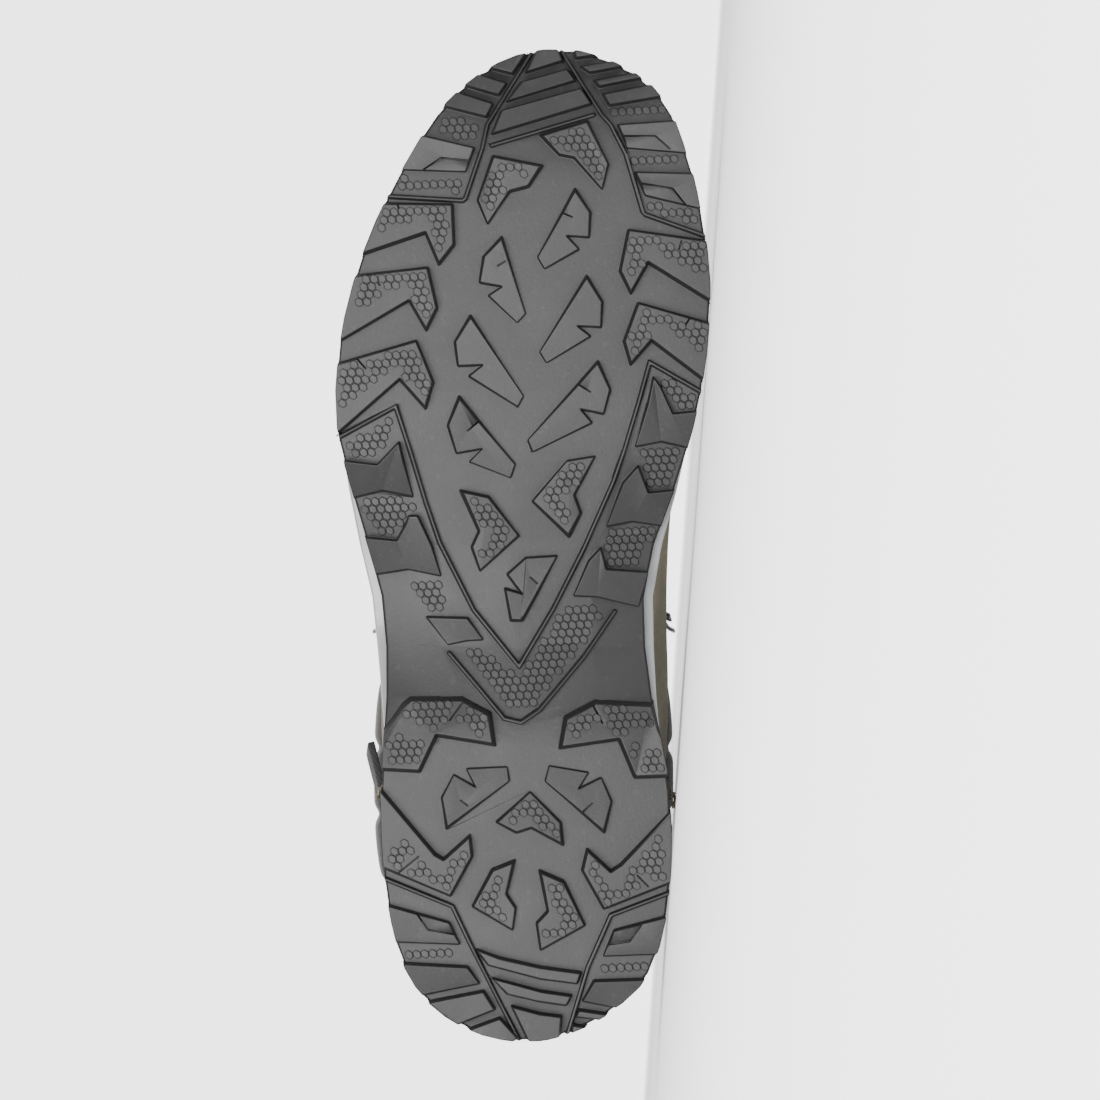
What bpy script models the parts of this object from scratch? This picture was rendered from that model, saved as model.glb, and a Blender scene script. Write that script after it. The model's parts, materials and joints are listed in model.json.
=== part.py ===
"""A right hunting boot, about EU 42 to 43, lying on its inner side.

The boot is built in its own frame, in metres: x runs from the back of the heel to the toe, y to the
inner side, and z up from the ground that the tread stands on. At the end one empty turns the whole
boot onto its inner side, toe along +X, with its origin in the middle underneath.
"""

import functools
import math
from collections import namedtuple

import bmesh
import bpy
import numpy as np
from mathutils import Matrix, Vector
from mathutils.geometry import tessellate_polygon

# Driving sizes
sole_length = 0.308
ball_width = 0.1165
collar_height = 0.170
shaft_width = 0.0965
heel_stack = 0.031
ball_stack = 0.020
toe_spring = 0.011
arch_rise = 0.0065
flank_rise = 0.0055
heel_bevel = 0.0025

# The outsole
lug_depth = 0.0045
outsole_thickness = 0.004
lug_root = 0.0025
lug_draft = 0.34
chevron_draft = 0.22
bar_draft = 0.16
outsole_step = 0.0006
outsole_bulge = 0.0005
midsole_groove = 0.0011
bulge_height = 0.0012
rib_width = 0.0016
rib_depth_share = 0.5

# The upper and what lies on it
upper_wall = 0.0022
feather_gap = 0.0005
sole_joint = 0.0006
clearance = 0.0003
stay_width = 0.015
stay_thickness = 0.0016
rand_thickness = 0.0018
counter_thickness = 0.0017
cuff_height = 0.028
cuff_thickness = 0.0135
cuff_inside = 0.0098
cuff_seat = 0.0007
tongue_thickness = 0.0048
tongue_height = 0.034
insole_thickness = 0.0035

# Lacing
lace_diameter = 0.004
ring_wire = 0.0022
ring_height = 0.0092
ring_width = 0.0118
hook_width = 0.007
hook_thickness = 0.0011
hook_mouth = 0.0050

# Webbing
pull_width = 0.017
pull_thickness = 0.0018
pull_reach = 0.016
tab_height = 0.020
tab_thickness = 0.0024
tab_length = 0.0155
tab_reach = 0.0062

# The bottom view is drawn in units of its own: y runs down from the toe, x towards the inner side.
DRAWN_LENGTH = 998
DRAWN_HEEL = 1043
DRAWN_MIDDLE = 525
DRAWN_BALL = 378

# The outline of the sole in drawn units, from the toe tip round the inner side and back.
SOLE_EDGE = (
    (562, 45), (618, 60), (663, 95), (690, 160), (706, 235), (711, 300), (703, 385), (683, 468),
    (657, 540), (645, 605), (652, 690), (668, 772), (672, 845), (667, 915), (646, 980), (590, 1026),
    (526, 1043), (460, 1027), (411, 982), (388, 910), (380, 810), (385, 690), (380, 600), (360, 525),
    (340, 450), (334.5, 395), (343, 320), (367, 240), (406, 160), (450, 96), (503, 57),
)
HEEL_TIP = 16

# Shares of the named rises along the sole: a row for each station, from heel to toe. Waist is the
# reach of the midsole beyond the outsole, as a share of waist_reach.
SoleStation = namedtuple("SoleStation", "along spring arch bevel heel waist")
SOLE_PROFILE = (
    SoleStation(0.00, 0.00, 0.00, 1.00, 1.00, -0.25),
    SoleStation(0.04, 0.00, 0.00, 0.25, 1.00, -0.30),
    SoleStation(0.08, 0.00, 0.00, 0.00, 1.00, -0.30),
    SoleStation(0.20, 0.00, 0.00, 0.00, 0.98, -0.30),
    SoleStation(0.31, 0.00, 0.00, 0.00, 0.93, 0.00),
    SoleStation(0.36, 0.00, 0.55, 0.00, 0.86, 0.70),
    SoleStation(0.43, 0.00, 1.00, 0.00, 0.72, 1.00),
    SoleStation(0.51, 0.00, 0.85, 0.00, 0.45, 0.80),
    SoleStation(0.59, 0.00, 0.25, 0.00, 0.20, 0.00),
    SoleStation(0.66, 0.00, 0.00, 0.00, 0.05, -0.30),
    SoleStation(0.74, 0.00, 0.00, 0.00, 0.00, -0.30),
    SoleStation(0.84, 0.00, 0.00, 0.00, 0.00, -0.25),
    SoleStation(0.90, 0.14, 0.00, 0.00, 0.00, -0.15),
    SoleStation(0.95, 0.45, 0.00, 0.00, 0.00, -0.05),
    SoleStation(1.00, 1.00, 0.00, 0.00, 0.00, 0.05),
)
SOLE_STATIONS = 30
waist_reach = 0.003
toe_lift = 0.0085

# Lugs in drawn units. The corners run round the lug, and tall is its depth as a share of lug_depth.
# A sloped lug is full depth at tall_y and has the low share at low_y. What passes the sole is cut off.
Lug = namedtuple("Lug", "name tall corners tall_y low low_y draft", defaults=(0, 1, 1, bar_draft))
TOE_LUGS = (
    Lug("toe_middle_1", 1.0, ((538, 38), (557, 38), (565, 58.5), (524, 71.5))),
    Lug("toe_middle_2", 1.0, ((520, 78.5), (568, 64.5), (578, 79), (504, 101.5))),
    Lug("toe_middle_3", 1.0, ((500, 108), (582, 84.5), (594, 103), (489.5, 135))),
    Lug("toe_outer_1", 1.0, ((526, 34), (528, 50), (513, 73), (470, 61), (478, 40))),
    Lug("toe_outer_2", 1.0, ((466, 66), (509, 80), (499, 95), (444, 78))),
    Lug("toe_outer_3", 1.0, ((440, 83), (495, 101), (487, 117.5), (424, 101))),
    Lug("toe_outer_4", 1.0, ((405, 129), (476, 146), (466, 171.5), (380, 169)), 138, 0.35, 172),
    Lug("toe_inner_1", 1.0, ((571, 34), (612, 34), (606, 52), (575, 56.5))),
    Lug("toe_inner_2", 1.0, ((578, 62.5), (640, 51), (648, 60), (590, 71.5))),
    Lug("toe_inner_3", 1.0, ((592, 77), (655, 64), (664, 72.5), (599, 86))),
    Lug("toe_inner_4", 1.0, ((601, 91), (672, 76), (684, 92.5), (609, 105.5))),
    Lug("toe_inner_5", 1.0, ((616, 122), (700, 116), (712, 154.5), (627, 147.5)), 119, 0.35, 151),
    Lug("toe_inner_6", 1.0, ((633, 170), (716, 172), (724, 214), (645, 195.5)), 170, 0.35, 204),
)
KITE_LUGS = (
    Lug("toe_outer", 0.9, ((491, 152), (547, 163), (530, 188), (511, 193), (487, 227), (475, 200)),
        163, 0.5, 227, lug_draft),
    Lug("toe_inner", 0.9, ((536, 133), (589, 116), (611, 163), (603, 192), (573, 159), (558, 156)),
        118, 0.5, 192, lug_draft),
    Lug("inner_1", 0.9,
        ((575, 183), (593, 211), (591, 239), (570, 237), (582, 249), (544, 270), (536, 257)),
        183, 0.3, 270, lug_draft),
    Lug("inner_2", 0.9,
        ((587, 270), (605, 301), (603, 329), (581, 327), (594, 336), (546, 364), (538, 352)),
        270, 0.3, 364, lug_draft),
    Lug("inner_3", 0.9,
        ((599, 356), (613, 389), (605, 416), (584, 411), (595, 423), (532, 453), (526, 440)),
        356, 0.3, 453, lug_draft),
    Lug("outer_1", 0.9,
        ((503, 231), (481, 255), (477, 284), (498, 287), (485, 295), (517, 324), (527, 314)),
        231, 0.3, 324, lug_draft),
    Lug("outer_2", 0.9,
        ((470, 310), (452, 341), (456, 368), (479, 366), (465, 376), (518, 408), (525, 396)),
        310, 0.3, 408, lug_draft),
    Lug("outer_3", 0.9,
        ((458, 391), (445, 425), (455, 455), (479, 450), (466, 462), (511, 479), (517, 464)),
        391, 0.3, 479, lug_draft),
    Lug("waist_outer", 0.9, ((456, 487), (490, 494), (522, 536), (479, 574), (469, 547), (476, 531)),
        487, 0.5, 574, lug_draft),
    Lug("waist_inner", 0.9, ((598, 454), (566, 459), (529, 501), (570, 541), (584, 513), (577, 495)),
        541, 0.5, 454, lug_draft),
    Lug("waist_middle", 0.9,
        ((525, 556), (560, 554), (524, 624), (508, 624), (502, 585), (518, 591), (504, 574)),
        624, 0.5, 554, lug_draft),
    Lug("heel_outer", 0.9,
        ((464, 768), (508, 766), (511, 782), (444, 834), (439, 798), (453, 773), (473, 785)),
        834, 0.3, 766, lug_draft),
    Lug("heel_inner", 0.9,
        ((548, 765), (591, 772), (581, 787), (602, 776), (614, 802), (606, 838), (543, 782)),
        838, 0.3, 765, lug_draft),
    Lug("heel_middle", 0.9, ((530, 790), (563, 822), (566, 850), (531, 831), (516, 836), (492, 823)),
        850, 0.5, 790, lug_draft),
    Lug("heel_back_outer", 0.9,
        ((518, 857), (490, 868), (469, 908), (514, 934), (518, 908), (509, 894)),
        857, 0.6, 934, lug_draft),
    Lug("heel_back_inner", 0.9,
        ((536, 867), (566, 880), (588, 927), (539, 954), (534, 923), (545, 911)),
        867, 0.6, 954, lug_draft),
)
CHEVRON_LUGS = (
    Lug("outer_1", 1.0, ((368, 201), (454, 202), (456, 245), (438, 268), (424, 235), (350, 260)),
        draft=chevron_draft),
    Lug("outer_2", 1.0, ((340, 275), (429, 265), (439, 308), (426, 334), (408, 303), (322, 353)),
        draft=chevron_draft),
    Lug("outer_3", 1.0, ((318, 367), (417, 338), (435, 382), (426, 412), (399, 382), (320, 450)),
        draft=chevron_draft),
    Lug("inner_1", 1.0, ((627, 227), (725, 241), (725, 312), (649, 265), (631, 297), (618, 271)),
        draft=chevron_draft),
    Lug("inner_2", 1.0, ((637, 300), (728, 326), (725, 398), (652, 343), (630, 368), (622, 341)),
        draft=chevron_draft),
    Lug("heel_outer", 1.0, ((366, 775), (383, 790), (436, 853), (443, 857), (471, 832), (474, 857),
                            (451, 899), (368, 864)),
        draft=chevron_draft),
    Lug("heel_inner", 1.0, ((692, 788), (670, 811), (620, 863), (611, 869), (586, 846), (580, 871),
                            (603, 912), (692, 877)),
        draft=chevron_draft),
)
SIDE_LUGS = (
    Lug("outer_1", 1.0, ((325, 457), (376, 463), (399, 439), (404, 460), (413, 497), (382, 491),
                         (335, 502)), 462, 0.3, 495),
    Lug("outer_2", 1.0, ((345, 534), (395, 539), (404, 523), (407, 514), (418, 514), (432, 545),
                         (441, 577), (407, 570), (362, 577)), 537, 0.3, 573),
    Lug("outer_3", 1.0, ((423, 616), (468, 617), (484, 641), (466, 642), (447, 646)), 616, 0.3, 643),
    Lug("inner_1", 1.0, ((653, 374), (662, 386), (674, 412), (722, 407), (712, 453), (662, 442),
                         (635, 447), (647, 402)), 410, 0.3, 445),
    Lug("inner_2", 1.0, ((639, 463), (650, 491), (698, 486), (690, 530), (633, 522), (606, 527),
                         (622, 482)), 489, 0.3, 525),
    Lug("inner_3", 1.0, ((602, 545), (608, 568), (652, 571), (640, 608), (598, 598), (573, 597),
                         (588, 560)), 569, 0.3, 600),
)
HEEL_LUGS = (
    Lug("wing_outer", 1.0, ((401, 703), (409, 696), (462, 696), (492, 712), (498, 749), (438, 739),
                            (421, 775), (366, 772), (378, 735)),
        draft=lug_draft),
    Lug("wing_inner", 1.0, ((563, 716), (595, 699), (655, 702), (662, 728), (688, 779), (633, 781),
                            (617, 743), (556, 752)),
        draft=lug_draft),
    Lug("middle_1", 1.0, ((474, 948), (500, 957), (540, 966), (583, 972), (578, 986), (540, 981),
                          (487, 967))),
    Lug("middle_2", 1.0, ((489, 977), (540, 990), (574, 995), (567, 1008), (540, 1004), (506, 996))),
    Lug("middle_3", 1.0, ((509, 1005), (540, 1013), (563, 1016), (560, 1054), (532, 1054))),
    Lug("outer_1", 1.0, ((366, 898), (450, 922), (461, 946), (378, 943)), 910, 0.5, 947),
    Lug("outer_2", 1.0, ((380, 961), (468, 966), (481, 985), (426, 996), (396, 1006)), 964, 0.5, 992),
    Lug("outer_3", 1.0, ((405, 1008), (428, 1001), (484, 990), (497, 1011), (462, 1025), (440, 1044))),
    Lug("outer_4", 1.0, ((447, 1043), (465, 1030), (500, 1017), (519, 1038), (507, 1060), (470, 1060))),
    Lug("inner_1", 1.0, ((613, 930), (692, 909), (684, 955), (602, 958)), 920, 0.5, 957),
    Lug("inner_2", 1.0, ((593, 980), (665, 978), (642, 1014), (616, 1010), (581, 1003)), 979, 0.5, 1007),
    Lug("inner_3", 1.0, ((578, 1009), (618, 1015), (640, 1022), (620, 1040), (596, 1022), (573, 1019))),
    Lug("inner_4", 1.0, ((571, 1024), (592, 1027), (612, 1042), (596, 1060), (566, 1060))),
)

# Thin ribs in drawn units, each along its middle.
Rib = namedtuple("Rib", "name course")
RIBS = (
    Rib("toe_outer", ((532, 42), (530, 51), (487, 123), (482, 147), (465, 198), (462, 200), (378, 195))),
    Rib("toe_inner", ((560, 40), (563, 49), (602, 113), (611, 123), (626, 153), (643, 211), (646, 214),
                      (722, 241))),
    Rib("toe_middle", ((489, 145), (596, 112.5))),
    Rib("forefoot", ((325, 444), (395, 406), (410, 452), (425, 502), (439, 543), (473, 610), (519, 667),
                     (553, 610), (584, 549), (614, 481), (624, 452), (639, 402), (650, 362), (720, 402))),
    Rib("waist", ((447, 652), (478, 688), (504, 719), (521, 723), (539, 711), (584, 658), (617, 610))),
    Rib("heel_outer", ((366, 872), (452, 907), (468, 941), (524, 1052))),
    Rib("heel_inner", ((690, 886), (611, 916), (588, 968), (563, 1052))),
)

# Sections of the upper from the sole to the collar, each a loop round the foot. Front, back and gap
# are shares of sole_length, the rises are shares of the way from the footbed to the collar, and the
# half widths are shares of the ball width below the instep and of the shaft width above it. Plan is
# how much of the sole's own outline the loop keeps; the rest is an oval, widest at the share widest.
Section = namedtuple(
    "Section",
    "front front_rise back back_rise ball_inner ball_outer shaft_inner shaft_outer "
    "widest round_front round_back plan gap",
)
UPPER_SECTIONS = (
    Section(0.980, 0.000, 0.016, 0.000, 0.450, 0.455, 0.00, 0.00, 0.50, 2.2, 2.3, 1.00, 0.060),
    Section(0.990, 0.056, 0.011, 0.065, 0.459, 0.468, 0.00, 0.00, 0.50, 2.2, 2.3, 0.95, 0.058),
    Section(0.984, 0.134, 0.007, 0.137, 0.455, 0.466, 0.00, 0.00, 0.50, 2.2, 2.3, 0.80, 0.056),
    Section(0.955, 0.197, 0.004, 0.194, 0.436, 0.445, 0.00, 0.00, 0.50, 2.2, 2.3, 0.55, 0.054),
    Section(0.900, 0.238, 0.005, 0.236, 0.412, 0.418, 0.00, 0.00, 0.50, 2.2, 2.3, 0.25, 0.052),
    Section(0.828, 0.300, 0.009, 0.280, 0.398, 0.400, 0.00, 0.00, 0.50, 2.1, 2.3, 0.05, 0.048),
    Section(0.742, 0.352, 0.013, 0.338, 0.200, 0.200, 0.24, 0.24, 0.46, 2.1, 2.3, 0.00, 0.044),
    Section(0.654, 0.418, 0.017, 0.408, 0.050, 0.050, 0.41, 0.41, 0.46, 2.2, 2.4, 0.00, 0.052),
    Section(0.580, 0.502, 0.021, 0.496, 0.000, 0.000, 0.475, 0.462, 0.46, 2.4, 2.4, 0.00, 0.066),
    Section(0.520, 0.596, 0.023, 0.590, 0.000, 0.000, 0.477, 0.468, 0.48, 2.7, 2.4, 0.00, 0.082),
    Section(0.480, 0.695, 0.022, 0.698, 0.000, 0.000, 0.480, 0.475, 0.50, 3.0, 2.4, 0.00, 0.095),
    Section(0.456, 0.800, 0.018, 0.800, 0.000, 0.000, 0.485, 0.482, 0.50, 3.3, 2.5, 0.00, 0.104),
    Section(0.443, 0.910, 0.013, 0.885, 0.000, 0.000, 0.492, 0.490, 0.50, 3.5, 2.5, 0.00, 0.110),
    Section(0.438, 1.020, 0.010, 0.965, 0.000, 0.000, 0.500, 0.500, 0.50, 3.6, 2.6, 0.00, 0.113),
)
TOP_ROW = len(UPPER_SECTIONS) - 1
THROAT_ROW = 6

# Rows of the upper's net, as section numbers, and its columns on each side of the front.
NET_ROWS = (0, 0.5, 1, 1.5, 2, 2.5, 3, 4, 5, 6, 6.5, 7, 7.5, 8, 8.5, 9, 9.5, 10, 11, 12, 13)
THROAT_COLUMN = 2
STAY_COLUMN = 4
SIDE_COLUMNS = 13
LAST_COLUMN = STAY_COLUMN + SIDE_COLUMNS

# The cuff's section: how far out of the upper and how far up, as shares of its two sizes.
CuffPoint = namedtuple("CuffPoint", "out up")
CUFF_SECTION = (
    CuffPoint(0.05, 0.0), CuffPoint(0.22, 0.20), CuffPoint(0.26, 0.50), CuffPoint(0.16, 0.82),
    CuffPoint(-0.16, 1.0), CuffPoint(-0.54, 0.92), CuffPoint(-0.70, 0.55), CuffPoint(-0.60, 0.12),
    CuffPoint(-0.30, 0.0),
)

# Where the lace runs: section numbers of the D-rings and of the hooks above them.
RING_ROWS = (6.4, 7.15, 7.85, 8.55)
HOOK_ROWS = (9.9, 11.05, 12.2)
LACING_COLUMN = 3.1


def material(name, colour, roughness, metallic=0.0):
    made = bpy.data.materials.new(name)
    made.use_nodes = True
    surface = made.node_tree.nodes["Principled BSDF"]
    surface.inputs["Base Color"].default_value = (*colour, 1.0)
    surface.inputs["Roughness"].default_value = roughness
    surface.inputs["Metallic"].default_value = metallic
    made.diffuse_color = (*colour, 1.0)
    return made


def add_object(name, mesh_data, finish, sharp=30):
    mesh = bpy.data.meshes.new(name)
    mesh_data.to_mesh(mesh)
    mesh_data.free()
    mesh.materials.append(finish)
    mesh.shade_smooth()
    mesh.set_sharp_from_angle(angle=math.radians(sharp))
    made = bpy.data.objects.new(name, mesh)
    bpy.context.collection.objects.link(made)
    return made


def hide_helper(helper):
    helper.hide_render = True
    helper.display_type = "WIRE"
    return helper


def smooth_curve(stations, values, where, keeps_flats=False):
    """The value at one place of a smooth curve through the stations."""
    slopes = np.gradient(np.asarray(values, float), np.asarray(stations, float))
    if keeps_flats:
        steps = np.diff(values)
        for number in range(1, len(values) - 1):
            if steps[number - 1] * steps[number] <= 0:
                slopes[number] = 0.0
        slopes[0] = slopes[0] if steps[0] else 0.0
    last = len(stations) - 2
    first = min(max(int(np.searchsorted(stations, where)) - 1, 0), last)
    span = stations[first + 1] - stations[first]
    t = min(max((where - stations[first]) / span, 0.0), 1.0)
    return (
        values[first] * (2 * t**3 - 3 * t**2 + 1)
        + slopes[first] * span * (t**3 - 2 * t**2 + t)
        + values[first + 1] * (3 * t**2 - 2 * t**3)
        + slopes[first + 1] * span * (t**3 - t**2)
    )


# Heights of the sole

@functools.lru_cache(maxsize=None)
def profile(column, share):
    stations = [row.along for row in SOLE_PROFILE]
    return smooth_curve(stations, [getattr(row, column) for row in SOLE_PROFILE], share, True)


def ground(share):
    """Height of the lugs' faces."""
    return (
        toe_spring * profile("spring", share)
        + arch_rise * profile("arch", share)
        + heel_bevel * profile("bevel", share)
    )


def footbed(share):
    """Height of the midsole's top."""
    return (
        ball_stack
        + (heel_stack - ball_stack) * profile("heel", share)
        + toe_lift * profile("spring", share)
    )


# Outline of the sole

def drawn(x, y):
    """A place of the bottom view as (along, across) in metres."""
    return (
        (DRAWN_HEEL - y) / DRAWN_LENGTH * sole_length,
        (x - DRAWN_MIDDLE) / DRAWN_BALL * ball_width,
    )


def round_curve(points, steps):
    """A closed smooth curve through the points."""
    curve = []
    count = len(points)
    for number in range(count):
        before, start, end, after = (np.array(points[(number + k - 1) % count]) for k in range(4))
        for step in range(steps):
            t = step / steps
            curve.append(
                start
                + (end - before) * t / 2
                + (2 * before - 5 * start + 4 * end - after) * t**2 / 2
                + (3 * start - before - 3 * end + after) * t**3 / 2
            )
    return np.array(curve)


@functools.lru_cache(maxsize=None)
def edge_chain(side):
    """One side of the outline from heel to toe: (along, across) in two arrays."""
    steps = 16
    outline = round_curve([drawn(x, y) for x, y in SOLE_EDGE], steps)
    heel = HEEL_TIP * steps
    if side > 0:
        chain = outline[: heel + 1][::-1]
    else:
        chain = np.vstack([outline[heel:], outline[:1]])
    return np.maximum.accumulate(chain[:, 0]), chain[:, 1]


def edge(side, share):
    """The across of the sole's edge at a share of its length."""
    return float(np.interp(share * sole_length, *edge_chain(side)))


def centre(share):
    """The across of the line from which both sides are measured: it leans inwards at the toe."""
    lean = drawn(*SOLE_EDGE[0])[1]
    return lean * max(0.0, (share - 0.55) / 0.45) ** 2


# Slabs of the sole

def station_shares(count, tip=0.0008):
    return [
        tip + (1 - 2 * tip) * (1 - math.cos(math.pi * k / count)) / 2
        for k in range(count + 1)
    ]


ACROSS_SHARES = (0.0, 0.2, 0.5, 0.8, 1.0)
ENVELOPE_REACH = 0.01


def slab(levels, stations):
    """A closed body from levels, bottom first. A level gives reach(share) and height(share, side)."""
    build = bmesh.new()
    grids = []
    for reach, height in levels:
        grid = []
        for share in stations:
            spread = reach(share)
            longer = 1 + 2 * spread / sole_length
            along = sole_length * (0.5 + (share - 0.5) * longer)
            outer = edge(-1, share) - spread
            inner = edge(1, share) + spread
            row = []
            for part in ACROSS_SHARES:
                level = height(along / sole_length, 2 * part - 1)
                place = (along, outer + (inner - outer) * part, level)
                row.append(build.verts.new(place))
            grid.append(row)
        grids.append(grid)
    last = len(stations) - 1
    end = len(ACROSS_SHARES) - 1
    for grid, is_bottom in ((grids[0], True), (grids[-1], False)):
        for k in range(last):
            for j in range(end):
                corners = (grid[k][j], grid[k + 1][j], grid[k + 1][j + 1], grid[k][j + 1])
                build.faces.new(corners[::-1] if is_bottom else corners)
    rim = [(k, 0) for k in range(last + 1)]
    rim += [(last, j) for j in range(1, end + 1)]
    rim += [(k, end) for k in range(last - 1, -1, -1)]
    rim += [(0, j) for j in range(end - 1, 0, -1)]
    for low, high in zip(grids, grids[1:]):
        for (k, j), (m, n) in zip(rim, rim[1:] + rim[:1]):
            build.faces.new((low[k][j], low[m][n], high[m][n], high[k][j]))
    loose = [v for v in build.verts if not v.link_faces]
    bmesh.ops.delete(build, geom=loose, context="VERTS")
    bmesh.ops.recalc_face_normals(build, faces=build.faces)
    return build


# The outsole

def tread_ground(share, side):
    """Height of the smooth ground between the lugs. Side is -1 at the outer edge and 1 at the inner."""
    flank = flank_rise * profile("arch", share) * abs(side) ** 3
    return ground(share) + lug_depth + flank


def outsole_top(share):
    return ground(share) + lug_depth + outsole_thickness + flank_rise * profile("arch", share)


def side_of(along, across):
    share = min(max(along / sole_length, 0.0), 1.0)
    middle = (edge(1, share) + edge(-1, share)) / 2
    half = max((edge(1, share) - edge(-1, share)) / 2, 1e-4)
    return share, max(-1.0, min(1.0, (across - middle) / half))


def inset(points, distances):
    """The polygon with each corner moved inwards by its own distance. Its corners run anticlockwise."""
    moved = []
    count = len(points)
    for number, distance in enumerate(distances):
        before, here, after = (np.array(points[(number + k - 1) % count]) for k in range(3))
        first = (here - before) / np.linalg.norm(here - before)
        second = (after - here) / np.linalg.norm(after - here)
        normal = np.array((-first[1] - second[1], first[0] + second[0]))
        normal = normal / np.linalg.norm(normal)
        sine = max(0.5, float(normal @ np.array((-first[1], first[0]))))
        moved.append(here + normal * distance / sine)
    return moved


def anticlockwise(points):
    area = sum(a[0] * b[1] - b[0] * a[1] for a, b in zip(points, points[1:] + points[:1]))
    return points if area > 0 else points[::-1]


def depth_at(lug, along):
    """How far the lug stands out of the ground at a place along the sole."""
    if not lug.tall_y:
        return lug_depth * lug.tall
    drawn_y = DRAWN_HEEL - along / sole_length * DRAWN_LENGTH
    gone = (drawn_y - lug.tall_y) / (lug.low_y - lug.tall_y)
    return lug_depth * lug.tall * (1 - (1 - lug.low) * min(max(gone, 0.0), 1.0))


def add_lug(build, lug):
    """A block from inside the outsole down to the lug's face, with drafted walls."""
    corners = anticlockwise([drawn(x, y) for x, y in lug.corners])
    depths = [depth_at(lug, along) for along, across in corners]
    root = []
    for along, across in corners:
        root.append(build.verts.new((along, across, tread_ground(*side_of(along, across)) + lug_root)))
    face = []
    for (along, across), depth in zip(inset(corners, [lug.draft * depth for depth in depths]), depths):
        level = tread_ground(*side_of(along, across))
        face.append(build.verts.new((along, across, level - depth)))
    count = len(corners)
    for a, b, c in tessellate_polygon([[Vector((*corner, 0.0)) for corner in corners]]):
        flat = [Vector(corners[n]) for n in (a, b, c)]
        turn = (flat[1] - flat[0]).cross(flat[2] - flat[0])
        a, b, c = (a, b, c) if turn > 0 else (a, c, b)
        build.faces.new((root[a], root[b], root[c]))
        build.faces.new((face[c], face[b], face[a]))
    for number in range(count):
        after = (number + 1) % count
        build.faces.new((face[number], face[after], root[after], root[number]))


def rib_lug(rib):
    """A thin lug along a course: down one side of it and back up the other."""
    half = rib_width / sole_length * DRAWN_LENGTH / 2
    course = [np.array(point, float) for point in rib.course]
    sides = ([], [])
    for number, here in enumerate(course):
        before = course[max(number - 1, 0)]
        after = course[min(number + 1, len(course) - 1)]
        first = (here - before) if number else (after - here)
        second = (after - here) if number < len(course) - 1 else first
        first = first / np.linalg.norm(first)
        second = second / np.linalg.norm(second)
        normal = np.array((-first[1] - second[1], first[0] + second[0]))
        normal = normal / np.linalg.norm(normal)
        cosine = max(0.5, float(normal @ np.array((-first[1], first[0]))))
        sides[0].append(tuple(here + normal * half / cosine))
        sides[1].append(tuple(here - normal * half / cosine))
    return Lug(rib.name, rib_depth_share, tuple(sides[0] + sides[1][::-1]))


def make_outsole(finish):
    base = slab(
        (
            (lambda share: -outsole_step, tread_ground),
            (
                lambda share: outsole_bulge - outsole_step,
                lambda share, side: tread_ground(share, 1) + bulge_height,
            ),
            (lambda share: -outsole_step, lambda share, side: outsole_top(share)),
        ),
        station_shares(SOLE_STATIONS),
    )
    outsole = add_object("outsole", base, finish)
    blocks = bmesh.new()
    for lug in TOE_LUGS + KITE_LUGS + CHEVRON_LUGS + SIDE_LUGS + HEEL_LUGS:
        add_lug(blocks, lug)
    for rib in RIBS:
        add_lug(blocks, rib_lug(rib))
    lugs = hide_helper(add_object("tread_lugs", blocks, finish))
    envelope = slab(
        (
            (lambda share: 0.0, lambda share, side: -ENVELOPE_REACH),
            (lambda share: 0.0, lambda share, side: heel_stack + ENVELOPE_REACH),
        ),
        station_shares(SOLE_STATIONS + 10),
    )
    envelope = hide_helper(add_object("tread_envelope", envelope, finish))
    trim = lugs.modifiers.new("trim", "BOOLEAN")
    trim.operation = "INTERSECT"
    trim.solver = "EXACT"
    trim.use_self = True
    trim.object = envelope
    join = outsole.modifiers.new("lugs", "BOOLEAN")
    join.operation = "UNION"
    join.solver = "EXACT"
    join.use_self = True
    join.object = lugs
    return outsole


# The midsole and the insole

def midsole_reach(share):
    return waist_reach * profile("waist", share)


def make_midsole(finish):
    def bottom(share, side):
        return outsole_top(share) + sole_joint

    def top(share, side):
        return footbed(share)

    def between(part):
        return lambda share, side: bottom(share, side) * (1 - part) + top(share, side) * part

    def held_in(step):
        return lambda share: midsole_reach(share) - step

    body = slab(
        (
            (held_in(0.2 * midsole_groove), bottom),
            (midsole_reach, between(0.35)),
            (held_in(midsole_groove), between(0.48)),
            (held_in(0.2 * midsole_groove), between(0.62)),
            (held_in(0.7 * midsole_groove), top),
        ),
        station_shares(SOLE_STATIONS),
    )
    return add_object("midsole", body, finish)


# The upper's surface

@functools.lru_cache(maxsize=None)
def section_at(row):
    numbers = list(range(len(UPPER_SECTIONS)))
    values = [
        smooth_curve(numbers, [getattr(section, column) for section in UPPER_SECTIONS], row)
        for column in Section._fields
    ]
    return Section(*values)


@functools.lru_cache(maxsize=None)
def widest_plan(side):
    return max(abs(edge(side, k / 60) - centre(k / 60)) for k in range(61))


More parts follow.
